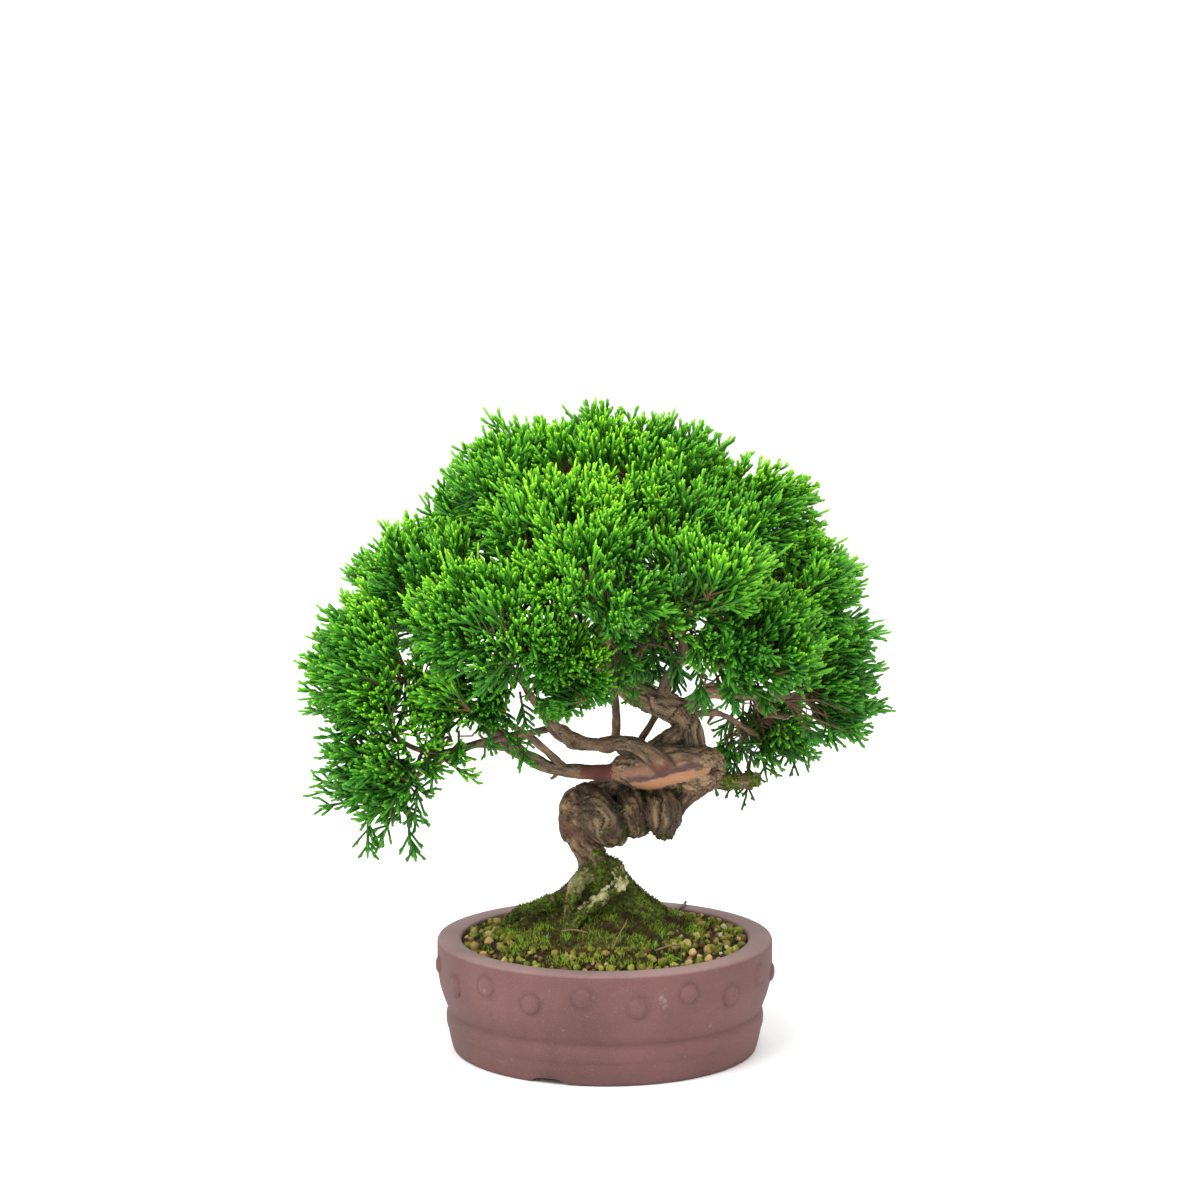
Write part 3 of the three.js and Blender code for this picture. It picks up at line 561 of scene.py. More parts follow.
branch_limbs = [
    [(34, -13, 152, 5.5), (28, -14.5, 157.5, 5.5), (22, -14.5, 162.5, 5.2), (16, -13.5, 166, 4.6),
     (6.5, -13, 167.3, 3.7), (1, -13, 166, 4.7), (-4, -13, 166.2, 3.7), (-10, -13, 166.6, 3.9),
     (-17, -13.5, 168.5, 4.8), (-20, -14, 170.4, 3.9), (-23, -14.5, 172.6, 4.4), (-27, -16, 175.5, 3.5),
     (-31, -19, 182, 2.9), (-36, -25, 190, 2.3), (-43, -38, 203, 1.9), (-51, -58, 218, 1.5)],
    [(10, -7, 152, 6.5), (4, -7, 150.5, 4.9), (-4, -6.5, 150, 4.1), (-11, -6, 150.2, 3.8),
     (-22, -6, 151.3, 3.7), (-30, -6.5, 153, 3.5), (-37, -7, 156.5, 3.8), (-45, -7.5, 160.8, 3.6),
     (-52, -8, 166, 4.3), (-67, -12, 181, 3.4), (-75, -16, 190, 3), (-95, -26, 202, 2.5),
     (-108, -38, 212, 2.2), (-122, -50, 221, 2)],
    [(-75, -16, 190, 2.2), (-87, -24, 187, 2), (-106, -36, 178, 1.8), (-122, -50, 168, 1.6)],
    [(-52, -8, 164, 2.4), (-69, -14, 166, 1.8), (-85, -24, 160, 1.7), (-103, -38, 152, 1.6),
     (-120, -52, 149, 1.5)],
    [(-27, -16, 176, 1.9), (-46, -18, 172, 1.7), (-65, -22, 169, 1.6), (-89, -30, 165, 1.6),
     (-106, -36, 172, 1.5), (-118, -44, 196, 1.4), (-124, -50, 212, 1.4)],
    [(-21, -6, 152, 2.4), (-31, -11, 162, 2), (-41, -17, 172, 1.8), (-56, -34, 184, 1.7),
     (-66, -46, 192, 1.5)],
    [(31, 3, 153, 5), (15, 20, 155, 3), (7, 25, 159, 2.6), (6, 26, 180, 2.4), (3, 25, 195, 2.3),
     (-4, 32, 203, 2.2), (-4, 62, 206, 2), (-3, 92, 207, 1.7)],
    [(6, 25, 186, 2.2), (-4, 31, 202, 2.1), (-22, 44, 212, 2), (-60, 58, 232, 1.9), (-98, 66, 243, 1.6)],
    [(15, 20, 156, 2.3), (28, 34, 175, 2), (38, 50, 196, 1.9), (47, 74, 230, 1.8), (53, 86, 254, 1.6)],
    [(39, 52, 198, 1.8), (66, 58, 214, 1.8), (96, 60, 226, 1.6)],
    [(38, 6, 179, 6), (47, 3, 186, 4.8), (56, -2, 193, 4), (69, -6, 192, 3.1), (95, -2, 190, 2.5),
     (112, 6, 190, 2), (127, 12, 198, 1.6)],
    [(69, -6, 192, 2.4), (77, -30, 206, 2), (81, -56, 226, 1.6)],
    [(78, -4, 191, 1.7), (84, -10, 183, 1.6), (97, -14, 181, 1.3)],
    [(54, 3, 146, 5), (63, 2, 143.5, 4.4), (71, 2, 143.7, 4), (78, 2, 144.3, 4.3), (83, 2, 144.6, 3.5)],
    [(43, 7, 178, 2.8), (60, 25, 177, 1.8), (75, 50, 166, 1.7), (86, 66, 157, 1.5)],
    [(30, 4, 187, 3.4), (33, 1, 200, 2.5), (42, -3, 214, 2.2), (38, -6, 236, 2.2), (44, -10, 252, 2.2),
     (62, -6, 270, 2.2), (80, -2, 282, 1.8)],
    [(39, -4, 234, 2.4), (72, -8, 240, 2), (114, -2, 249, 1.7)],
    [(39, -5, 238, 2.4), (43, -36, 252, 2), (48, -72, 264, 1.7)],
    [(39, -6, 236, 3), (43, -9, 262, 2), (36, -5, 306, 1.7)],
    [(6, 4, 204, 4), (-12, -14, 211, 2.8), (-24, -32, 213, 2.4), (-40, -60, 226, 2), (-55, -80, 238, 1.6)],
    [(-12, -14, 211, 2.2), (-15, -40, 212, 1.9), (-17, -64, 212, 1.6)],
    [(1, 8, 216, 3), (0, -24, 240, 2.4), (0, -58, 256, 2), (-1, -86, 264, 1.6)],
    [(0, 10, 236, 3), (-10, -14, 262, 2.2), (-21, -44, 288, 1.7)],
    [(2, 12, 252, 2.6), (16, -16, 274, 2), (27, -46, 288, 1.6)],
    [(1, 8, 218, 2.8), (-10, 44, 240, 2.2), (-24, 86, 261, 1.7)],
    [(-2, 12, 276, 2.6), (-24, 8, 292, 2.2), (-48, 2, 309, 1.7)],
    [(-3, 12, 276, 2.4), (-6, 12, 300, 2), (-7, 12, 318, 1.7)],
    [(-72, -14, 188, 2.2), (-92, -12, 222, 2), (-107, -14, 258, 1.7)],
    [(-10, 44, 240, 2), (-34, 46, 264, 1.8), (-56, 48, 283, 1.6)],
    [(2, 12, 254, 2.6), (12, 32, 274, 2), (23, 48, 290, 1.6)],
]
log_kind, root_kind, branch_kind, corkscrew_kind = 0, 1, 2, 3
thin_limb = 2.7
spurs = 90
fused_step = 0.88

wood_parts = []
wood_faces = []


def grow_limb(stations, step, sides, ridges, depth, kind):
    """Adds a limb with rounded ridges and narrow creases along it, and keeps its grain coordinates."""
    rows, run = smooth_route(stations, step)
    phase = dice.uniform(0, 6)

    def section(turn, k):
        twist = turn + 0.012 * run[k] + phase
        crease = np.abs(np.sin(ridges / 2 * twist + 0.6 * np.sin(2 * turn + run[k] * 0.05))) ** 0.6
        return 1 + depth * (crease - 0.72) + 0.35 * depth * math.sin(run[k] * 0.23 + phase) * np.cos(turn * 2)

    points, faces = sweep(rows[:, :3], rows[:, 3], sides, section)
    start = sum(len(part) for part in wood_parts)
    turn = np.arange(sides) * 2 * math.pi / sides
    radius = rows[:, 3:4]
    grain = np.stack([radius * np.cos(turn), radius * np.sin(turn), np.repeat(run[:, None], sides, 1)], -1)
    grain = np.concatenate([grain.reshape(-1, 3), [[0, 0, run[0]], [0, 0, run[-1]]]]) + [37 * phase, 0, 0]
    turns = np.append(np.tile(turn, len(rows)), [0, 0])
    wood_parts.append(np.column_stack([points, grain, np.full(len(points), kind), turns]))
    wood_faces.extend(group + start for group in faces)


def fresh_mesh(name):
    """A mesh of all limbs grown so far, with its points' place, grain, kind and turn, and an empty start."""
    mesh = bpy.data.meshes.new(name)
    grown = np.concatenate(wood_parts)
    mesh.from_pydata(grown[:, :3], [], [face for group in wood_faces for face in group.tolist()])
    wood_parts.clear()
    wood_faces.clear()
    return mesh, grown


def read_mesh(mesh):
    """A mesh's points and normals, and its faces by their number of sides."""
    points, normals = np.zeros(len(mesh.vertices) * 3), np.zeros(len(mesh.vertices) * 3)
    mesh.vertices.foreach_get("co", points)
    mesh.vertices.foreach_get("normal", normals)
    faces = [np.array([tuple(f.vertices) for f in mesh.polygons if len(f.vertices) == sides], int)
             for sides in (3, 4)]
    return points.reshape(-1, 3), normals.reshape(-1, 3), [group for group in faces if len(group)]


for stations in [*trunk_limbs, *burls]:
    grow_limb(stations, step=1.0, sides=56, ridges=4, depth=0.1, kind=log_kind)
grow_limb(corkscrew, step=0.8, sides=60, ridges=3, depth=0.08, kind=corkscrew_kind)
for stations in root_limbs:
    grow_limb(stations, step=1.0, sides=28, ridges=4, depth=0.2, kind=root_kind)
for stations in branch_limbs:
    if stations[0][3] > thin_limb:
        grow_limb(stations, step=1.2, sides=22, ridges=4, depth=0.16, kind=branch_kind)
rough_mesh, grown = fresh_mesh("rough_wood")
rough_wood = bpy.data.objects.new("rough_wood", rough_mesh)
in_scene.link(rough_wood)
fusing = rough_wood.modifiers.new("fusing", "REMESH")
fusing.mode = "VOXEL"
fusing.voxel_size = fused_step
smoothing = rough_wood.modifiers.new("smoothing", "SMOOTH")
smoothing.iterations = 2
smoothing.factor = 0.3
fused = rough_wood.evaluated_get(bpy.context.evaluated_depsgraph_get()).to_mesh()
fused_points, fused_normals, fused_faces = read_mesh(fused)
fused_edges = np.zeros(len(fused.edges) * 2, int)
fused.edges.foreach_get("vertices", fused_edges)
fused_edges = fused_edges.reshape(-1, 2)
bpy.data.objects.remove(rough_wood)
nearest = kdtree.KDTree(len(grown))
for index, row in enumerate(grown):
    nearest.insert(row[:3], index)
nearest.balance()
fused_source = np.array([nearest.find(point)[1] for point in fused_points])

# How far each point lies below the wood round it: creases between the windings, and finer folds.
here, beside = np.concatenate([fused_edges, fused_edges[:, ::-1]]).T
neighbours = np.bincount(here, minlength=len(fused_points))[:, None]
smoothed = fused_points
sunk = []
for rounds in (14, 160):
    for _ in range(rounds):
        total = np.stack([np.bincount(here, smoothed[beside, axis], len(fused_points))
                          for axis in range(3)], -1)
        smoothed = (smoothed + total / neighbours) / 2
    sunk.append(((smoothed - fused_points) * fused_normals).sum(1))
sunk = np.clip(sunk[0] * 1.6, 0, 1) * 0.6 + np.clip(sunk[1] * 0.5 - 0.1, 0, 1) * 0.8

for stations in branch_limbs:
    if stations[0][3] <= thin_limb:
        grow_limb(stations, step=1.8, sides=10, ridges=4, depth=0.1, kind=branch_kind)
for _ in range(spurs):
    rows, _ = smooth_route(branch_limbs[dice.integers(1, len(branch_limbs))], 2.0)
    foot = rows[dice.integers(len(rows) // 6, len(rows))]
    way = dice.normal(size=3) + [0, -0.3, 0.3]
    tip = foot[:3] + way / np.linalg.norm(way) * (foot[3] + dice.uniform(1.5, 6))
    knee = (foot[:3] + tip) / 2 + dice.normal(scale=0.4, size=3)
    grow_limb([(*foot[:3], 0.9), (*knee, 0.9), (*tip, 0.6)], step=1.6, sides=6, ridges=3, depth=0.15,
              kind=branch_kind)
thin_mesh, thin_grown = fresh_mesh("thin_wood")
thin_points, thin_normals, thin_faces = read_mesh(thin_mesh)
bark_points = np.concatenate([fused_points, thin_points])
bark_normals = np.concatenate([fused_normals, thin_normals])
sunk = np.concatenate([sunk, np.zeros(len(thin_points))])
grown = np.concatenate([grown[fused_source], thin_grown])
grain, kind, around = grown[:, 3:6], grown[:, 6], grown[:, 7]


def along_grain(across, along, shift=0):
    """Noise that is drawn out along the grain."""
    return np.array([noise.noise(Vector((x * across + shift, y * across, z * along))) for x, y, z in grain])


def lumpy(scale, shift=0):
    """Noise that is the same in all directions."""
    return np.array([noise.noise(Vector(point) * scale + Vector((0, 0, shift))) for point in bark_points])


coarse = np.array([noise.fractal(Vector(point) * 0.11, 1.0, 2.1, 3) for point in bark_points])
torn = along_grain(0.5, 0.12)
furrow = np.abs(along_grain(0.42, 0.035, 20))
ripple = along_grain(0.95, 0.09, 60)
flake = along_grain(1.3, 0.5, 90)
warp, small_warp, knobs = lumpy(0.05), lumpy(0.13, 40), lumpy(0.4)
stout = kind != branch_kind
winding_grooves = np.abs(np.sin(2 * around + 0.06 * grain[:, 2] + 4.2 * warp + 0.6 * small_warp))
fold_lines = np.abs(np.sin(5 * around + 0.08 * grain[:, 2] + 5 * warp + 1.2 * small_warp))
bark_x, bark_y, bark_z = bark_points.T
facing = np.clip(-bark_normals[:, 1] * 3, 0, 1) * (bark_y < 0)


def strokes(*rows):
    """The strongest of some strokes on the bark, seen from the front. Each has a strength, where it may
    show, how far its torn edge fades, and a route of x, y, z and half width."""
    painted_rows = []
    for strength, where, fade, route in rows:
        beyond = np.min([np.linalg.norm((bark_points - row[:3]) * [1, 0.3, 1], axis=1) - row[3]
                         for row in smooth_route(route, 1.0)[0]], axis=0)
        painted_rows.append(strength * where * np.clip((fade - beyond - 1.1 * torn) / fade, 0, 1))
    return np.max(painted_rows, axis=0)


vein = strokes((1, facing, 0.7, [(14, -16, 144.7, 0.8), (19, -17, 143.4, 2.3), (26, -17, 144.5, 3),
                                 (32, -16, 146, 3), (38, -15, 147.6, 2.8), (44, -14, 149.3, 2.2),
                                 (50, -12, 150.8, 1.3), (55, -9, 152, 0.4)]))
vein_edge = strokes((1, facing, 0.9, [(13, -16, 147.6, 0.9), (22, -17, 148.4, 1.3), (30, -16, 150.2, 1.6),
                                      (39, -15, 152.6, 1.7), (49, -12, 154.5, 1)]))
flush = strokes(
    (1, facing, 1.4, [(-9, -11, 150.5, 4), (-3, -11, 150.5, 4.5), (3, -12, 150.5, 4)]),
    (0.8, facing, 2.5, [(12, -16, 150.5, 2), (21, -17, 152, 2.6), (31, -17, 154, 2)]),
    (0.35, facing, 4, [(27, -17, 158, 1.5), (36, -13, 157.5, 3), (46, -11, 157, 2.5)]),
    (0.5, 1, 3.5, [(-24, -6, 122, 1.5), (-19, -10, 118, 2), (-10, -14, 116, 2)]),
    (0.3, facing, 3, [(-6, -14, 167, 1.8), (2, -14, 167.5, 2)]))
stub = strokes((1, 1, 2.5, [(67, 2, 143.6, 4.2), (76, 2, 144.2, 4.2), (84, 2, 144.6, 4)]))
stub *= np.clip(0.9 + 1.6 * coarse + 1.2 * ripple + knobs, 0, 1)
# Painted shadows: dark strokes along the seam between the first two lobes and along the underside of the log.
seam_shadows = strokes(
    (1, facing, 2.5, [(0, -12, 142, 2.2), (5, -12, 136, 2.4), (8, -12, 128, 2), (11, -12, 121, 1.4)]),
    (0.8, facing, 1.8, [(-8, -12, 143.5, 1), (6, -12, 142.5, 1.2), (22, -14, 140, 1), (38, -14, 142, 0.8)]))
pale_root = np.zeros(len(bark_points))
pale_rows, _ = smooth_route([(8.5, -11, 96, 3.9), *root_limbs[1][2:6], (-12, -26, 77.5, 2.6)], 1.0)
for row in pale_rows:
    beyond = np.linalg.norm(bark_points - row[:3], axis=1) - row[3]
    pale_root = np.maximum(pale_root, np.clip((1.6 - beyond) / 1.4, 0, 1))
pale_root *= np.clip(0.6 + 2.2 * coarse + 1.4 * ripple + 0.5 * bark_normals[:, 2], 0, 1)
grey_root = np.clip(1 - np.hypot(bark_x + 13.5, bark_z - 92) / 8, 0, 1) * (bark_y < -4)
grey_streaks = np.clip(grey_root * 2 + 3 * coarse + ripple - 0.3, 0, 1) * (grey_root > 0)
pale_root = np.maximum(pale_root, 0.55 * grey_streaks)
moss_line = np.interp(bark_x, (-20, -13, 0, 10), (92, 104, 114, 116)) + 16 * coarse + 9 * knobs
climbing = np.clip((moss_line - bark_z) / 8, 0, 1) * (1 - pale_root)
in_creases = np.clip(sunk * 1.6 - 0.3, 0, 1) * np.clip((coarse + 0.15) * 3, 0, 1) * (bark_z < 166)
mossy = np.clip(np.max([climbing, stub, 0.6 * in_creases], axis=0), 0, 1)

# Relief: deep grooves between windings, folds, cuts and flakes, all worn smooth where the wood is bare.
bare = np.clip(vein + vein_edge + flush, 0, 1)
cut = np.clip(1 - furrow * 9, 0, 1) * (1 - bare) * np.where(kind == corkscrew_kind, 0.55, 1.0)
deep_groove = stout * np.clip(1 - winding_grooves * 4.5, 0, 1) * (1 - bare)
fold = stout * np.clip(1 - fold_lines * 2.6, 0, 1) * (1 - bare)
relief = (1 - 0.85 * bare) * (0.6 * ripple + 0.3 * flake + 0.7 * coarse) - 0.8 * cut
relief = np.where(stout, 1.0, 0.55) * relief - (1.5 * deep_groove + 0.75 * fold)
relief += pale_root * (ripple + 2.2 * knobs + 0.4) + 1.2 * stub * knobs
wrinkled = (kind == corkscrew_kind) * np.clip(1 - np.abs(bark_x - 14) / 8, 0, 1)
relief += 0.55 * wrinkled * np.sin(bark_z * 2.0 + bark_x * 0.3 + 2.5 * coarse)
relief += -0.6 * vein - 0.3 * vein_edge
ridge = stout * np.clip(1 - np.abs(winding_grooves - 0.36) * 10, 0, 1) * np.clip(0.3 + 3 * coarse, 0, 0.85)
ridge = np.maximum(ridge, 0.7 * stout * np.clip(fold_lines * 4 - 3.2, 0, 1) * np.clip(3 * small_warp, 0, 1))
log = (kind == log_kind) * np.clip(1 - np.abs(bark_z - 153) / 14, 0, 1) * (bark_x > -8)
# Bark lightness: lighter along the log, with painted shade that darkens the corkscrew windings below it, and
# random patches.
bark_lightness_and_shade = np.clip(0.5 + 0.75 * log - 0.42 * (kind == corkscrew_kind) + 0.5 * small_warp, 0, 1)
# Painted shade: the bark turns near black in the cuts, grooves, folds, sunken creases and seams.
crevice_shade = np.max([0.85 * cut, 1.15 * deep_groove, 0.8 * fold, 1.15 * sunk, 0.9 * seam_shadows], axis=0)
crevice_shade = np.clip(crevice_shade, 0, 1)
crevice_shade *= 1 - 0.8 * np.clip(vein + flush, 0, 1)
bark_points = bark_points + bark_normals * relief[:, None]

bark, tree = new_material("juniper_bark")
bark_place, _, bark_specks, _ = add_mottle(tree, 110.0, 1500.0)
vein_mask, flush_mask, moss_mask, ridge_mask = painted(tree, "masks")
edge_mask, lichen_mask, crevice_shade_mask, bark_lightness_and_shade_mask = painted(tree, "more_masks")
bark_grain = node(tree, "Attribute", "Vector", attribute_name="grain")
bark_grain = node(tree, "Mapping", Scale=(1.0, 1.0, 0.09), Vector=bark_grain)
fibre = node(tree, "TexNoise", Vector=bark_grain, Scale=1.6, Detail=6.0, Roughness=0.65)
fibres = ramp(tree, fibre, (0.28, (0.03, 0.019, 0.011)), (0.44, (0.11, 0.072, 0.043)),
              (0.56, (0.23, 0.155, 0.095)), (0.7, (0.43, 0.33, 0.2)))
broad = node(tree, "TexNoise", Vector=bark_place, Scale=45.0, Detail=6.0, Roughness=0.65)
colour = mix(tree, scaled(tree, broad, 0.42, 0.62), mix(tree, 0.4, fibres, (0.06, 0.052, 0.04)),
             mix(tree, 0.35, fibres, (0.27, 0.14, 0.075)))
# The bark is multiplied by its lightness, which holds the painted shade on the windings.
colour = mix(tree, 1.0, colour, scaled(tree, bark_lightness_and_shade_mask, 0, 1, 0.42, 1.75), blend_type="MULTIPLY")
colour = mix(tree, ridge_mask, colour, mix(tree, 0.55, colour, (0.52, 0.4, 0.19)))
# Painted shade in the crevices.
colour = mix(tree, crevice_shade_mask, colour, (0.014, 0.009, 0.005))
colour = mix(tree, bark_specks, colour, (0.38, 0.28, 0.17))
reddish = ramp(tree, bark_lightness_and_shade_mask, (0.3, (0.11, 0.036, 0.028)), (0.65, (0.17, 0.065, 0.045)),
               (1.0, (0.3, 0.15, 0.1)))
colour = mix(tree, flush_mask, colour, reddish)
colour = mix(tree, edge_mask, colour, mix(tree, fibre, (0.05, 0.02, 0.024), (0.2, 0.115, 0.105)))
colour = mix(tree, vein_mask, colour, mix(tree, fibre, (0.28, 0.11, 0.05), (0.6, 0.32, 0.17)))
lichen_noise = node(tree, "TexNoise", Vector=bark_place, Scale=190.0, Detail=7.0, Roughness=0.75)
lichen = ramp(tree, lichen_noise, (0.36, (0.03, 0.03, 0.012)), (0.43, (0.2, 0.17, 0.08)),
              (0.5, (0.4, 0.4, 0.15)), (0.58, (0.62, 0.58, 0.38)))
colour = mix(tree, lichen_mask, colour, lichen)
moss_noise = node(tree, "TexNoise", Vector=bark_place, Scale=420.0, Detail=4.0, Roughness=0.7)
moss_cover = scaled(tree, combine(tree, "ADD", moss_noise, moss_mask), 0.8, 1.15)
climbing_moss = ramp(tree, moss_noise, (0.3, (0.012, 0.02, 0.003)), (0.5, (0.06, 0.085, 0.01)),
                     (0.66, (0.17, 0.24, 0.02)))
colour = mix(tree, moss_cover, colour, climbing_moss)
finish(tree, Specular_IOR_Level=0.3, Base_Color=colour,
       Roughness=scaled(tree, vein_mask, 0, 1, 0.85, 0.5), Normal=bump(tree, fibre, 0.6, 0.0006))

masks = np.stack([vein, flush, mossy, ridge], -1)
more_masks = np.stack([vein_edge, pale_root, crevice_shade, bark_lightness_and_shade], -1)
stout_part, thin_part = slice(None, len(fused_points)), slice(len(fused_points), None)
for name, part, faces in (("juniper_wood", stout_part, fused_faces),
                          ("juniper_twigs", thin_part, thin_faces)):
    wood = add_piece(name, bark_points[part], faces, bark, "bark",
                     grain=grain[part], masks=masks[part], more_masks=more_masks[part])
    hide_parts("tree_wood")

# Moss: a dark cushion of fine living moss over the root flare, thin and broken towards the rim, with
# brown dry patches. It also grows up the roots and over the old stub on the right.
moss_radius = 54
moss_height = 15
mound_sides = 108
tufts = 15000
blade_half = 0.42


def tubes(paths, radii, sides):
    """Many slim tubes at once, each along its own path and ending in a point. It also gives how far
    along its tube each point is."""
    count, stations, _ = paths.shape
    ahead = np.gradient(paths, axis=1)
    ahead /= np.maximum(np.linalg.norm(ahead, axis=2, keepdims=True), 1e-9)
    mean = ahead.mean(1, keepdims=True)
    across = np.cross(ahead, np.where(np.abs(mean[..., 2:]) < 0.8, [0, 0, 1.0], [1.0, 0, 0]))
    across /= np.linalg.norm(across, axis=2, keepdims=True)
    above = np.cross(across, ahead)
    turn = np.arange(sides) * 2 * math.pi / sides + 0.4
    reach = np.broadcast_to(radii, (count, stations))[:, :-1, None, None]
    ring = np.cos(turn)[:, None] * across[:, :-1, None] + np.sin(turn)[:, None] * above[:, :-1, None]
    body = (paths[:, :-1, None] + reach * ring).reshape(count, -1, 3)
    points = np.concatenate([body, paths[:, -1:]], axis=1)
    share = np.concatenate([np.repeat(np.linspace(0, 1, stations)[:-1], sides), [1.0]])
    here, beside, beyond, ahead_of = grid_faces(stations - 2, sides)
    walls = np.stack([here, ahead_of, beyond, beside], -1).reshape(-1, 4)
    last = (stations - 2) * sides
    side = np.arange(sides)
    tip = np.stack([last + side, np.full(sides, points.shape[1] - 1), last + (side + 1) % sides], -1)
    first = (np.arange(count) * points.shape[1])[:, None, None]
    faces = [(walls + first).reshape(-1, 4), (tip + first).reshape(-1, 3)]
    return points.reshape(-1, 3), faces, np.tile(share, count)


def mound_height(x, y):
    """How high the moss stands at a place."""
    radius, angle = np.hypot(x, y), np.arctan2(y, x)
    swell = 1 + 0.12 * np.sin(5 * angle + radius * 0.4) + 0.1 * np.sin(3 * angle + 1)
    dome = moss_height * np.clip(1 - radius / moss_radius, 0, 1) ** 1.4
    return soil_height(radius) + 1.5 + dome * swell


mound_outline = [(2, soil_crown - 3), (moss_radius - 1, soil_height(moss_radius) - 2)]
mound_outline += [(radius, 0) for radius in np.linspace(2, moss_radius, 36)[::-1]]
mound, mound_faces = turned(mound_outline, mound_sides)
mound_top = mound[2:]
mound_angle = np.arctan2(mound_top[..., 1], mound_top[..., 0])
mound_top[..., :2] *= (1 - (np.hypot(mound_top[..., 0], mound_top[..., 1]) / moss_radius) ** 4
                       * (0.1 - 0.1 * np.sin(4 * mound_angle + 2)))[..., None]
mound_bumps = np.array([noise.fractal(Vector((x, y, 0)) * 0.35, 0.8, 2.2, 4)
                        for x, y in mound_top[..., :2].reshape(-1, 2)]).reshape(mound_top.shape[:2])
mound_top[..., 2] = mound_height(mound_top[..., 0], mound_top[..., 1]) - 0.9 + 1.3 * mound_bumps
mound_points = mound.reshape(-1, 3)
mound_tone = 0.25 + 0.5 * np.concatenate([np.zeros(2 * mound_sides), mound_bumps.ravel()])

tuft_radius = (rim_inner - 3) * dice.random(tufts) ** 0.6
tuft_angle = dice.uniform(0, 2 * math.pi, tufts)
tuft_place = np.stack([tuft_radius * np.cos(tuft_angle), tuft_radius * np.sin(tuft_angle)], -1)
moss_edge = np.maximum(46, 50 + 80 * (moss_patches(tuft_place) + 0.02))
tuft_x, tuft_y = tuft_place[tuft_radius < moss_edge + 9 * dice.random(tufts)].T
tuft_foot = np.stack([tuft_x, tuft_y, mound_height(tuft_x, tuft_y) - 1.2], -1)
tuft_way = dice.normal(scale=0.75, size=tuft_foot.shape) + np.array([0, 0, 1.0])
tuft_way[:, :2] += 0.35 * tuft_foot[:, :2] / moss_radius
tuft_length = dice.uniform(1.5, 2.9, (len(tuft_foot), 1))
on_bark = np.flatnonzero((mossy > 0.5) & (bark_points[:, 2] > 60) & (dice.random(len(mossy)) < 0.4))
bark_foot = bark_points[on_bark]
bark_way = bark_normals[on_bark] + dice.normal(scale=0.45, size=bark_foot.shape)
blade_foot = np.concatenate([tuft_foot, bark_foot])
blade_way = np.concatenate([tuft_way, bark_way])
blade_way = blade_way / np.linalg.norm(blade_way, axis=1, keepdims=True)
blade_length = np.concatenate([tuft_length, dice.uniform(0.7, 1.7, (len(on_bark), 1))])
blades = np.stack([blade_foot, blade_foot + (blade_way + [0, 0, 0.2]) * blade_length], 1)
moss_points, moss_faces, moss_share = tubes(blades, np.array([blade_half, 0]), 3)
moss_tone = 0.31 + 1.2 * np.array([noise.fractal(Vector(foot) * 0.09, 1.0, 2.0, 4) for foot in blade_foot])
moss_tone = moss_tone + 0.6 * np.array([noise.noise(Vector(foot) * 0.3) for foot in blade_foot])
moss_tone = moss_tone + 0.0055 * np.hypot(blade_foot[:, 0], blade_foot[:, 1])
moss_tone -= 0.008 * np.clip(blade_foot[:, 2] - 70, 0, 30)
moss_tone = np.clip(moss_tone + dice.normal(scale=0.26, size=len(moss_tone)), 0, 1)
moss_tone = np.repeat(moss_tone, len(moss_share) // len(blades))

moss_green, tree = new_material("living_moss")
_, moss_patch, moss_speck, moss_lumps = add_mottle(tree, 70.0, 1300.0)
moss_tint, moss_lit = painted(tree, "tone")[:2]
moss_colour = ramp(tree, moss_tint, (0.12, (0.07, 0.04, 0.017)), (0.34, (0.095, 0.08, 0.015)),
                   (0.55, (0.11, 0.19, 0.01)), (0.85, (0.4, 0.6, 0.04)))
moss_colour = mix(tree, moss_patch, moss_colour, mix(tree, 0.5, moss_colour, (0.13, 0.085, 0.035)))
moss_shadow = mix(tree, 0.55, moss_colour, (0.01, 0.012, 0.003))
finish(tree, Specular_IOR_Level=0.2, Base_Color=mix(tree, moss_lit, moss_shadow, moss_colour),
       Roughness=scaled(tree, moss_speck, 0, 1, 0.85, 0.7),
       Normal=bump(tree, moss_lumps, 0.8, 0.001))

# The mound under the blades takes much of the painted shadow, and each blade is darker at its foot as painted
# shadow and lit at its tip.
moss = add_piece("moss_cushion", np.concatenate([mound_points, moss_points]),
                 [mound_faces, *[group + len(mound_points) for group in moss_faces]], moss_green, "moss",
                 tone=np.concatenate([np.stack([mound_tone, np.full(len(mound_points), 0.4)], -1),
                                      np.stack([moss_tone, moss_share], -1)]))
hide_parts("moss")

# Litter and seedlings on the soil: three dry juniper twigs that lie on the moss, and one grass blade and
# a few young sprouts that root in it.
dry_twig_routes = [
    [(11.5, -29, 74, 0.3), (8, -38, 70.5, 0.4), (3.6, -50, 64.5, 0.45)],
    [(-23, -32.5, 70, 0.45), (-16, -34, 71, 0.5), (-9, -36, 70, 0.35)],
    [(40, -38, 64, 0.4), (34, -44, 65, 0.5), (26, -49, 63.5, 0.35)],
]
sprout_places = [(-30.6, -31), (48.3, -1.5), (-49.1, -12), (25.6, -43.5), (-20, -38), (8, -40), (55, 14),
                 (-8, -24), (38, 22), (-34, 28), (30, -30), (-44, -30)]
sprout_blades = 6
grass_route = np.array([(23, -42, 60.5), (29, -46, 63.5), (40, -55, 59.5)])
grass_steps = 12


def add_dead_wood(name, points, faces, blush, shade):
    """Plain twigs in the tree's own bark, with how reddish and how light they are."""
    add_piece(name, points, faces, bark, "bark", grain=points,
              masks=np.tile([0, blush, 0, 0], (len(points), 1)),
              more_masks=np.tile([0, 0, 0, shade], (len(points), 1)))


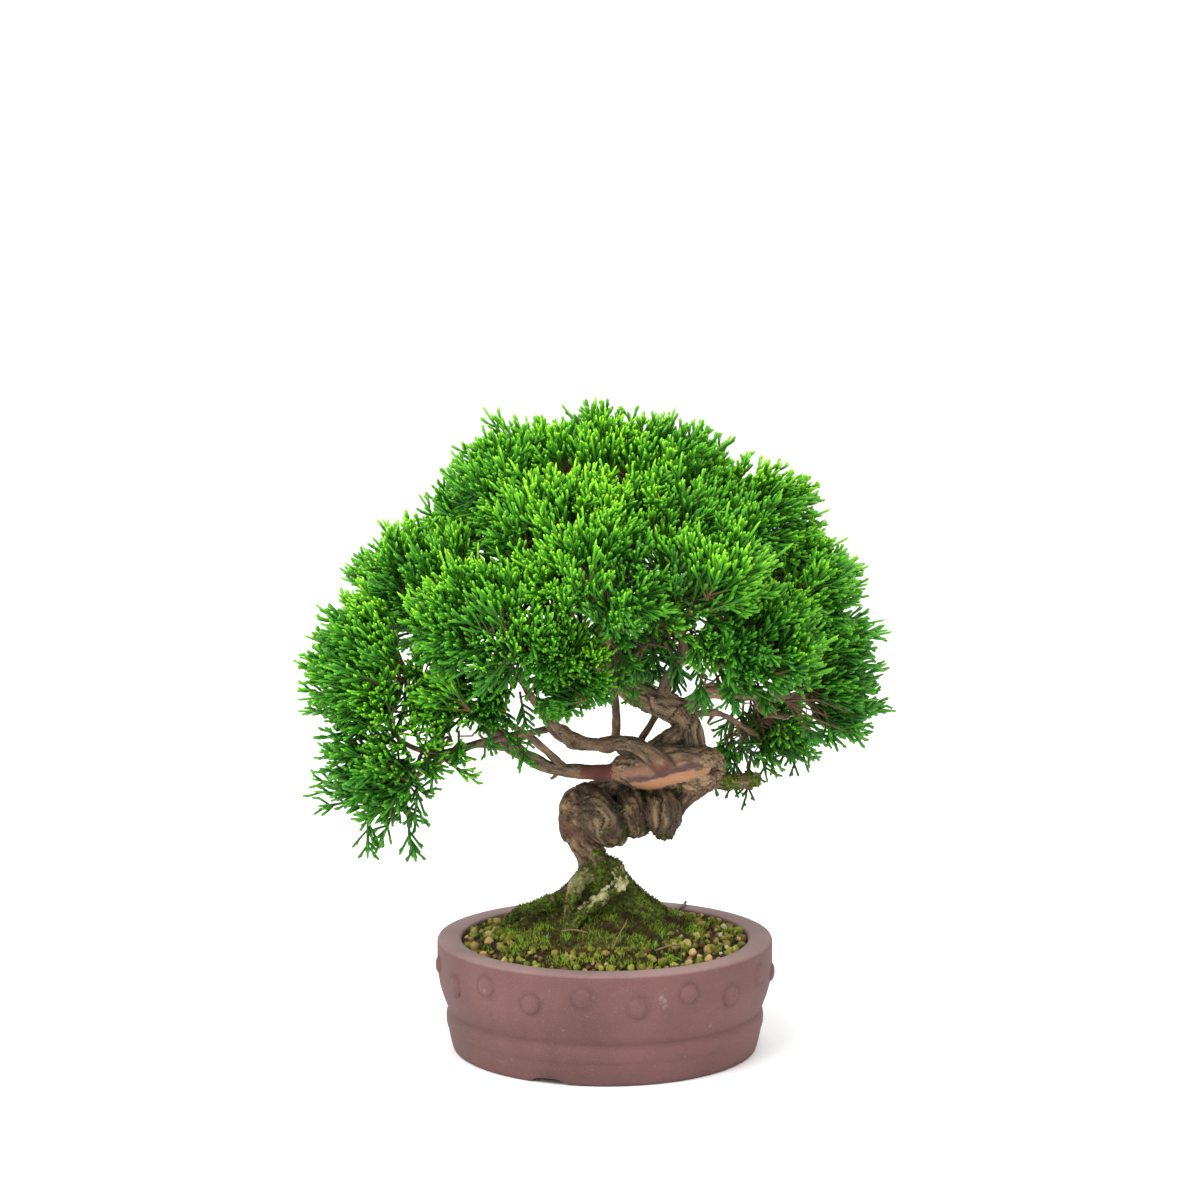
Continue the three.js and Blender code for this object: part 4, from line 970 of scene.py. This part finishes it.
twig_points = []
twig_faces = []
for stations in dry_twig_routes:
    rows, _ = smooth_route(stations, 1.0)
    points, faces = sweep(rows[:, :3], rows[:, 3], 8)
    twig_faces.extend(group + sum(len(done) for done in twig_points) for group in faces)
    twig_points.append(points)
add_dead_wood("dry_twigs", np.concatenate(twig_points), twig_faces, 0.25, 0.9)

sprout_paths = []
for x, y in sprout_places:
    foot = np.array([x, y, mound_height(x, y) - 1.5])
    for _ in range(sprout_blades):
        way = dice.normal(scale=0.4, size=3) + np.array([0, 0, 1.0])
        tip = foot + way / np.linalg.norm(way) * dice.uniform(3, 6.5)
        sprout_paths.append([foot, (foot + tip) / 2 + [0, 0, 0.8], tip])
sprout_points, sprout_faces, _ = tubes(np.array(sprout_paths), np.array([0.3, 0.28, 0]), 4)
t = np.linspace(0, 1, grass_steps)[:, None]
grass_line = (1 - t) ** 2 * grass_route[0] + 2 * t * (1 - t) * grass_route[1] + t**2 * grass_route[2]
grass_wide = 1.1 * np.sin(math.pi * np.clip(t * 0.9 + 0.08, 0, 1)) * np.array([0.45, 0.75, 0.3])
grass = np.concatenate([grass_line - grass_wide, grass_line + grass_wide, grass_line + [0, 0, 0.3]])
step = np.arange(grass_steps - 1) + len(sprout_points)
grass_faces = [np.stack([a + step, b + step, b + step + 1, a + step + 1], -1)
               for a, b in ((0, grass_steps), (grass_steps, 2 * grass_steps), (2 * grass_steps, 0))]

sprout_green, tree = new_material("seedling_leaf")
_, sprout_patch, _, sprout_height = add_mottle(tree, 200.0, 1500.0)
finish(tree, Roughness=0.55, Normal=bump(tree, sprout_height, 0.3, 0.0003),
       Base_Color=mix(tree, sprout_patch, (0.07, 0.26, 0.015), (0.22, 0.46, 0.03)))
add_piece("seedlings", np.concatenate([sprout_points, grass]), [*sprout_faces, *grass_faces], sprout_green,
          "moss")

# Foliage: pads of scale-leaved juniper shoots, pinched back each year. Each brown twig ends in a clump
# of sprays that fan out and curve up side by side, yellow-green at the growing tips. Painted shade darkens
# the shoots towards their feet, deep inside the pads and on the pads' undersides, and painted light
# brightens the pads' tops.
# Each pad: middle, half size, how steeply its shoots rise, how densely it is filled.
pad_table = {
    "top_left": (-43, 0, 307, 42, 45, 34, 0.9, 1.0), "top": (-6, 10, 316, 46, 50, 33, 1.0, 1.0),
    "top_right": (33, -4, 307, 42, 47, 35, 0.9, 1.0), "right_shoulder": (77, 0, 281, 41, 45, 37, 0.7, 1.0),
    "right_upper": (108, 0, 245, 34, 45, 37, 0.5, 1.0), "right_low": (125, 15, 201, 30, 40, 44, 0.0, 0.85),
    "right_front": (76, -59, 228, 42, 35, 33, 0.55, 1.0), "front_right": (45, -74, 264, 45, 35, 35, 0.8, 1.0),
    "front_centre": (-1, -87, 263, 45, 38, 37, 0.85, 1.0),
    "front_left": (-53, -80, 240, 52, 40, 39, 0.7, 1.0),
    "left_upper": (-97, -13, 255, 32, 42, 35, 0.6, 0.85), "left": (-126, -52, 212, 33, 42, 41, 0.4, 1.0),
    "left_low": (-117, -57, 160, 38, 32, 33, 0.0, 0.6), "left_inner": (-79, -50, 197, 42, 26, 27, 0.4, 0.85),
    "centre_low": (-19, -67, 215, 24, 23, 27, 0.75, 1.0),
    "back_hanging": (93, 72, 162, 26, 25, 28, -0.2, 0.4),
    "mid_left": (-21, -47, 287, 50, 35, 34, 0.9, 1.0), "mid_right": (26, -49, 286, 47, 35, 34, 0.9, 1.0),
    "back_left": (-96, 66, 241, 50, 45, 39, 0.5, 0.9), "back": (-23, 82, 260, 52, 42, 41, 0.6, 0.9),
    "back_right": (49, 83, 255, 52, 42, 41, 0.6, 0.9), "back_right_low": (97, 59, 227, 40, 42, 37, 0.2, 0.9),
    "back_low": (-3, 89, 205, 52, 35, 32, 0.1, 0.8), "back_top_left": (-58, 48, 286, 42, 38, 34, 0.8, 0.9),
    "back_top_right": (24, 50, 294, 44, 38, 34, 0.8, 0.9),
}
crown_low, crown_high = [np.array(corner) * 1000 for corner in bare_bounds]
crown_heart = np.array([0, 0, 225.0])
# Single sprays that fill gaps or hang below: pad, twig's start, middle, half size, way, length, number.
hanging = (
    ("left_low", (-112, -54, 150), (-112, -56, 143), (16, 8, 5), (0.15, 0, -1), 27, 4),
    ("left_low", (-84, -46, 168), (-88, -54, 166), (10, 8, 10), (0.2, -0.2, 0.3), 22, 9),
    ("left", (-112, -52, 186), (-108, -68, 190), (5, 4, 5), (0, -0.1, 1), 32, 5),
    ("left", (-100, -44, 196), (-94, -50, 198), (10, 8, 20), (0.2, -0.2, 0.4), 22, 22),
    ("left_inner", (-62, -44, 184), (-62, -52, 184), (24, 8, 6), (0.1, -0.1, -1), 20, 5),
    ("front_left", (-26, -36, 213), (-28, -66, 210), (26, 10, 8), (0, -0.2, -1), 22, 5),
    ("front_centre", (12, -20, 212), (16, -40, 220), (20, 10, 7), (0.1, -0.2, -0.8), 22, 6),
    ("mid_left", (-4, -30, 262), (4, -36, 284), (30, 26, 8), (0, -0.35, 1), 28, 44),
    ("mid_right", (36, 10, 226), (26, 28, 222), (28, 10, 17), (0, -0.3, -0.3), 24, 20),
    ("right_front", (60, -30, 206), (66, -60, 210), (22, 10, 5), (0.1, -0.1, -1), 22, 4),
    ("right_low", (96, -4, 188), (108, -8, 180), (20, 8, 6), (0.2, 0, -1), 22, 6),
    ("back_hanging", (86, 66, 166), (86, 66, 168), (20, 10, 12), (0.22, 0, -0.8), 28, 30),
    ("back_hanging", (86, 66, 166), (76, 66, 152), (10, 8, 6), (-0.15, 0, -0.8), 24, 5),
)
clump_spacing = 22.0
clump_sprays = 5
side_shoots = 9
shoot_radius = 0.9
twig_profile = (1.3, 1.0, 0.8, 0)
# Leaders, side shoots and forks: how thick they are along their way, how dark their painted shade is at the
# foot, how woody.
shoot_kinds = (((0.95, 0.95, 0.95, 0.85, 0), 0.1, 1), ((0.75, 0.9, 1.0, 0), 0.12, 0),
               ((0.8, 0.95, 0), 0.4, 0))
crown_dice = np.random.default_rng(20)


def unit(vectors):
    """The vectors, each scaled to a length of one."""
    return vectors / np.maximum(np.linalg.norm(vectors, axis=-1, keepdims=True), 1e-9)


def clump_sites(name):
    """A pad's clumps where no other pad hides them: their bases, the ways they grow and their lengths."""
    row = np.array(pad_table[name])
    middle, half, rise, filled = row[:3], row[3:6], row[6], row[7]
    area = 4 * math.pi * np.mean([(half[0] * half[1]) ** 1.6, (half[0] * half[2]) ** 1.6,
                                  (half[1] * half[2]) ** 1.6]) ** (1 / 1.6)
    count = int(area * filled / clump_spacing**2)
    k = np.arange(count) + 0.5
    polar = np.arccos(1 - 2 * k / count)
    turn = math.pi * (1 + math.sqrt(5)) * k + crown_dice.uniform(0, 6)
    way = np.stack([np.cos(turn) * np.sin(polar), np.sin(turn) * np.sin(polar), np.cos(polar)], -1)
    way = unit(way + crown_dice.normal(scale=0.12, size=way.shape))
    normal = unit(way / half)
    tips = middle + way * half * crown_dice.uniform(0.88, 0.98, (count, 1))
    combed = tips * [1 / 120, 1 / 120, 0]
    upright = 0.85 * rise * np.clip(0.6 + 0.6 * normal[:, 2:], 0.05, 1)
    growth = unit((normal * 0.5 + combed * (1.15 - 0.6 * rise)) * [1, 0.55, 1] + upright * [0, 0, 1.0]
                  + crown_dice.normal(scale=0.26, size=way.shape))
    hidden = normal @ unit(middle - crown_heart) < (-0.5 if filled > 0.8 else -0.8)
    for other, values in pad_table.items():
        if other != name and values[7] > 0.8:
            hidden |= np.linalg.norm((tips - values[:3]) / np.array(values[3:6]), axis=1) < 0.84
    hidden |= (normal[:, 2] < -0.8) & (crown_dice.random(count) < 0.5)
    reach = np.clip(half.mean(), 20, 33) * crown_dice.uniform(0.88, 1.1, count)
    base = tips - growth * reach[:, None]
    out_of_pad = np.linalg.norm((base - middle) / half, axis=1, keepdims=True)
    base = middle + (base - middle) * np.minimum(1, (0.72 if filled > 0.8 else 0.5) / out_of_pad)
    return base[~hidden], growth[~hidden], reach[~hidden]


def hanging_sites(name):
    """A pad's single hanging sprays: where their twigs start, their bases, ways and lengths."""
    sites = [np.zeros((0, 10))]
    for pad, twig_start, middle, half, way, length, count in hanging:
        if pad == name:
            feet = np.array(middle) + crown_dice.uniform(-1, 1, (count, 3)) * half
            ways = unit(np.array(way) + crown_dice.normal(scale=0.35, size=(count, 3)))
            lengths = length * crown_dice.uniform(0.75, 1.15, count)
            sites.append(np.column_stack([np.tile(twig_start, (count, 1)), feet, ways, lengths]))
    starts, feet, ways, lengths = np.split(np.concatenate(sites), [3, 6, 9], axis=1)
    return starts, feet, ways, lengths.ravel()


def bend_towards(start, way, length, towards, steps, bend):
    """Paths that leave along one way and curve towards another."""
    s = np.asarray(steps)[:, None]
    way, towards = way[..., None, :], towards[..., None, :]
    return start[..., None, :] + length[..., None, None] * (s * way + bend * s**2 * (towards - way))


def grow_sprays(base, growth, reach, sprays, openness):
    """The shoots of clumps of sprays: leaders, side shoots all round them, and a fork on each."""
    clumps = len(base)
    across = unit(np.cross(growth, crown_dice.normal(size=growth.shape)))
    above = np.cross(growth, across)
    turn = np.arange(sprays) * 2 * math.pi / max(sprays - 1, 1)
    turn = turn + crown_dice.normal(scale=0.3, size=(clumps, sprays))
    aside = np.where(np.arange(sprays) == 0, 0.12, 1.0) * crown_dice.uniform(0.75, 1.2, (clumps, sprays))
    disc = np.cos(turn)[..., None] * across[:, None] + np.sin(turn)[..., None] * above[:, None]
    disc *= aside[..., None]
    way = unit(growth[:, None] + 0.72 * disc).reshape(-1, 3)
    forward = unit(growth[:, None] + 0.22 * disc + [0, 0, 0.12]).reshape(-1, 3)
    start = np.repeat(base, sprays, 0)
    count = len(start)
    length = np.repeat(reach, sprays) * crown_dice.uniform(0.82, 1.05, count)
    spike = np.where(crown_dice.random(count) < 0.3, crown_dice.uniform(1.1, 1.32, count), 1.0)
    leader = bend_towards(start, way, length * spike, forward, (0, 0.35, 0.66, 0.94, 1.0), 0.5)
    beside = unit(np.cross(forward, crown_dice.normal(size=forward.shape)))
    behind = np.cross(forward, beside)
    place = np.linspace(0.3, 0.84, side_shoots) + crown_dice.normal(scale=0.02, size=(count, side_shoots))
    side_turn = np.arange(side_shoots) * 2.4 + crown_dice.normal(scale=0.3, size=(count, side_shoots))
    spread = np.radians(crown_dice.uniform(30, 50, (count, side_shoots)))
    roots = start[:, None] + length[:, None, None] * (
        place[..., None] * way[:, None] + 0.5 * place[..., None] ** 2 * (forward - way)[:, None])
    outward = np.cos(side_turn)[..., None] * beside[:, None] + np.sin(side_turn)[..., None] * behind[:, None]
    side_way = unit(np.cos(spread)[..., None] * forward[:, None] + np.sin(spread)[..., None] * outward)
    side_length = crown_dice.uniform(9, 16, (count, side_shoots)) * (1.12 - 0.55 * place)
    onward = unit(np.repeat(forward[:, None], side_shoots, 1) + openness * outward)
    sides = bend_towards(roots, side_way, side_length, onward, (0, 0.45, 0.88, 1.0), 0.5)
    forked = crown_dice.uniform(0.3, 0.75, (count, side_shoots, 1))
    fork_foot = roots + side_length[..., None] * (forked * side_way + 0.5 * forked**2 * (onward - side_way))
    fork_way = unit(onward + 0.8 * unit(crown_dice.normal(size=onward.shape)))
    fork_length = crown_dice.uniform(2.8, 5.5, (count, side_shoots))
    forks = bend_towards(fork_foot, fork_way, fork_length, onward, (0, 0.8, 1.0), 0.45)
    return leader, sides.reshape(-1, 4, 3), forks.reshape(-1, 3, 3)


shoots, tree = new_material("juniper_shoots")
shoot_place, shoot_patch, shoot_speck, _ = add_mottle(tree, 30.0, 1100.0)
shoot_light_and_shade, shoot_youth, shoot_woody = painted(tree, "shoot")[:3]
# The shoot's colour runs from near black in its painted shade to yellow-green at its lit tip.
shoot_young = ramp(tree, shoot_light_and_shade,
                   (0.0, (0.01, 0.055, 0.004)), (0.28, (0.05, 0.24, 0.007)), (0.55, (0.16, 0.55, 0.012)),
                   (0.75, (0.36, 0.78, 0.02)), (0.92, (0.68, 0.97, 0.04)))
shoot_old = ramp(tree, shoot_light_and_shade,
                 (0.0, (0.008, 0.045, 0.006)), (0.5, (0.055, 0.3, 0.016)), (1.0, (0.26, 0.7, 0.03)))
shoot_green = mix(tree, shoot_youth, shoot_old, shoot_young)
shoot_deep = mix(tree, 0.25, shoot_green, (0.03, 0.2, 0.012))
shoot_green = mix(tree, shoot_patch, shoot_green, shoot_deep)
shoot_brown = mix(tree, shoot_patch, (0.1, 0.05, 0.025), (0.2, 0.11, 0.05))
scales = node(tree, "TexVoronoi", Vector=shoot_place, Scale=900.0)
finish(tree, Specular_IOR_Level=0.22, Base_Color=mix(tree, shoot_woody, shoot_green, shoot_brown),
       Roughness=scaled(tree, shoot_speck, 0, 1, 0.48, 0.65),
       Normal=bump(tree, scales, 0.5, 0.0003))

twigs = []
for name, values in pad_table.items():
    middle, half = np.array(values[:3]), np.array(values[3:6])
    clump_bases, growth, reach = clump_sites(name)
    loose_starts, loose_bases, loose_ways, loose_reach = hanging_sites(name)
    parts = [np.concatenate(both) for both in zip(
        grow_sprays(clump_bases, growth, reach, clump_sprays, 0.2 if values[7] > 0.7 else 0.6),
        grow_sprays(loose_bases, loose_ways, loose_reach, 1, 0.75))]
    sprays = len(parts[0])
    bases = np.concatenate([clump_bases, loose_bases])
    ways = np.concatenate([growth, loose_ways])
    counts = [len(clump_bases), len(loose_bases)]
    clump = np.repeat(np.arange(len(bases)), np.repeat([clump_sprays, 1], counts))
    tone = np.array([noise.noise(Vector(base) * 0.03) for base in bases])
    tone = (0.6 + 0.85 * tone + 0.25 * ways[:, 2])[clump] + crown_dice.normal(scale=0.14, size=sprays)
    light = crown_dice.normal(0.55, 0.28, len(bases))[clump] + crown_dice.normal(0, 0.13, sprays)
    points, faces, shades = [], [], []
    for paths, (profile, darkest, woody) in zip(parts, shoot_kinds):
        paths = np.clip(paths, crown_low + 0.8, crown_high - 0.8)
        part, part_faces, share = tubes(paths, shoot_radius * np.array(profile), 3)
        start = sum(len(done) for done in points)
        faces.extend(group + start for group in part_faces)
        points.append(part)
        depth = np.clip((np.linalg.norm((part - middle) / half, axis=1) - 0.45) / 0.5, 0, 1)
        each = len(share) // sprays
        # Lightness along each shoot: darker towards the foot as painted shade deep in the clump, lighter at
        # the tip where the young growth is yellow-green.
        shoot_lightness_and_shade = (darkest + (1 - darkest) * share ** 1.9) * (0.74 + 0.4 * np.repeat(light, each))
        sunlit = np.clip(0.9 + 0.25 * (part[:, 2] - middle[2]) / half[2], 0.6, 1.1)
        # Painted shade deeper inside the pad and low on it, painted light high on it.
        shoot_lightness_and_shade *= (0.42 + 0.58 * depth) * sunlit
        shades.append(np.clip([shoot_lightness_and_shade, np.repeat(tone, each), woody * (1.1 - 3.4 * share)], 0, 1).T)
    piece = add_piece("shoots_" + name, np.concatenate(points), faces, shoots, "foliage",
                      shoot=np.concatenate(shades))
    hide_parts("foliage_" + name)
    starts = np.concatenate([middle + 0.12 * (clump_bases - middle), loose_starts])
    twigs.append(np.column_stack([starts, bases + 3 * ways, np.repeat([1.0, 0.55], counts)]))

twigs = np.concatenate(twigs)
twig_from, twig_to = twigs[:, :3], twigs[:, 3:6]
twig_bow = (twig_from + twig_to) / 2 + crown_dice.normal(scale=2.5, size=twig_from.shape)
twig_paths = np.stack([twig_from, twig_bow, twig_to, twig_to + 0.2 * (twig_to - twig_bow)], 1)
inner_points, inner_faces, _ = tubes(twig_paths, twigs[:, 6:] * twig_profile, 5)
add_dead_wood("crown_twigs", inner_points, inner_faces, 0.4, 0.5)
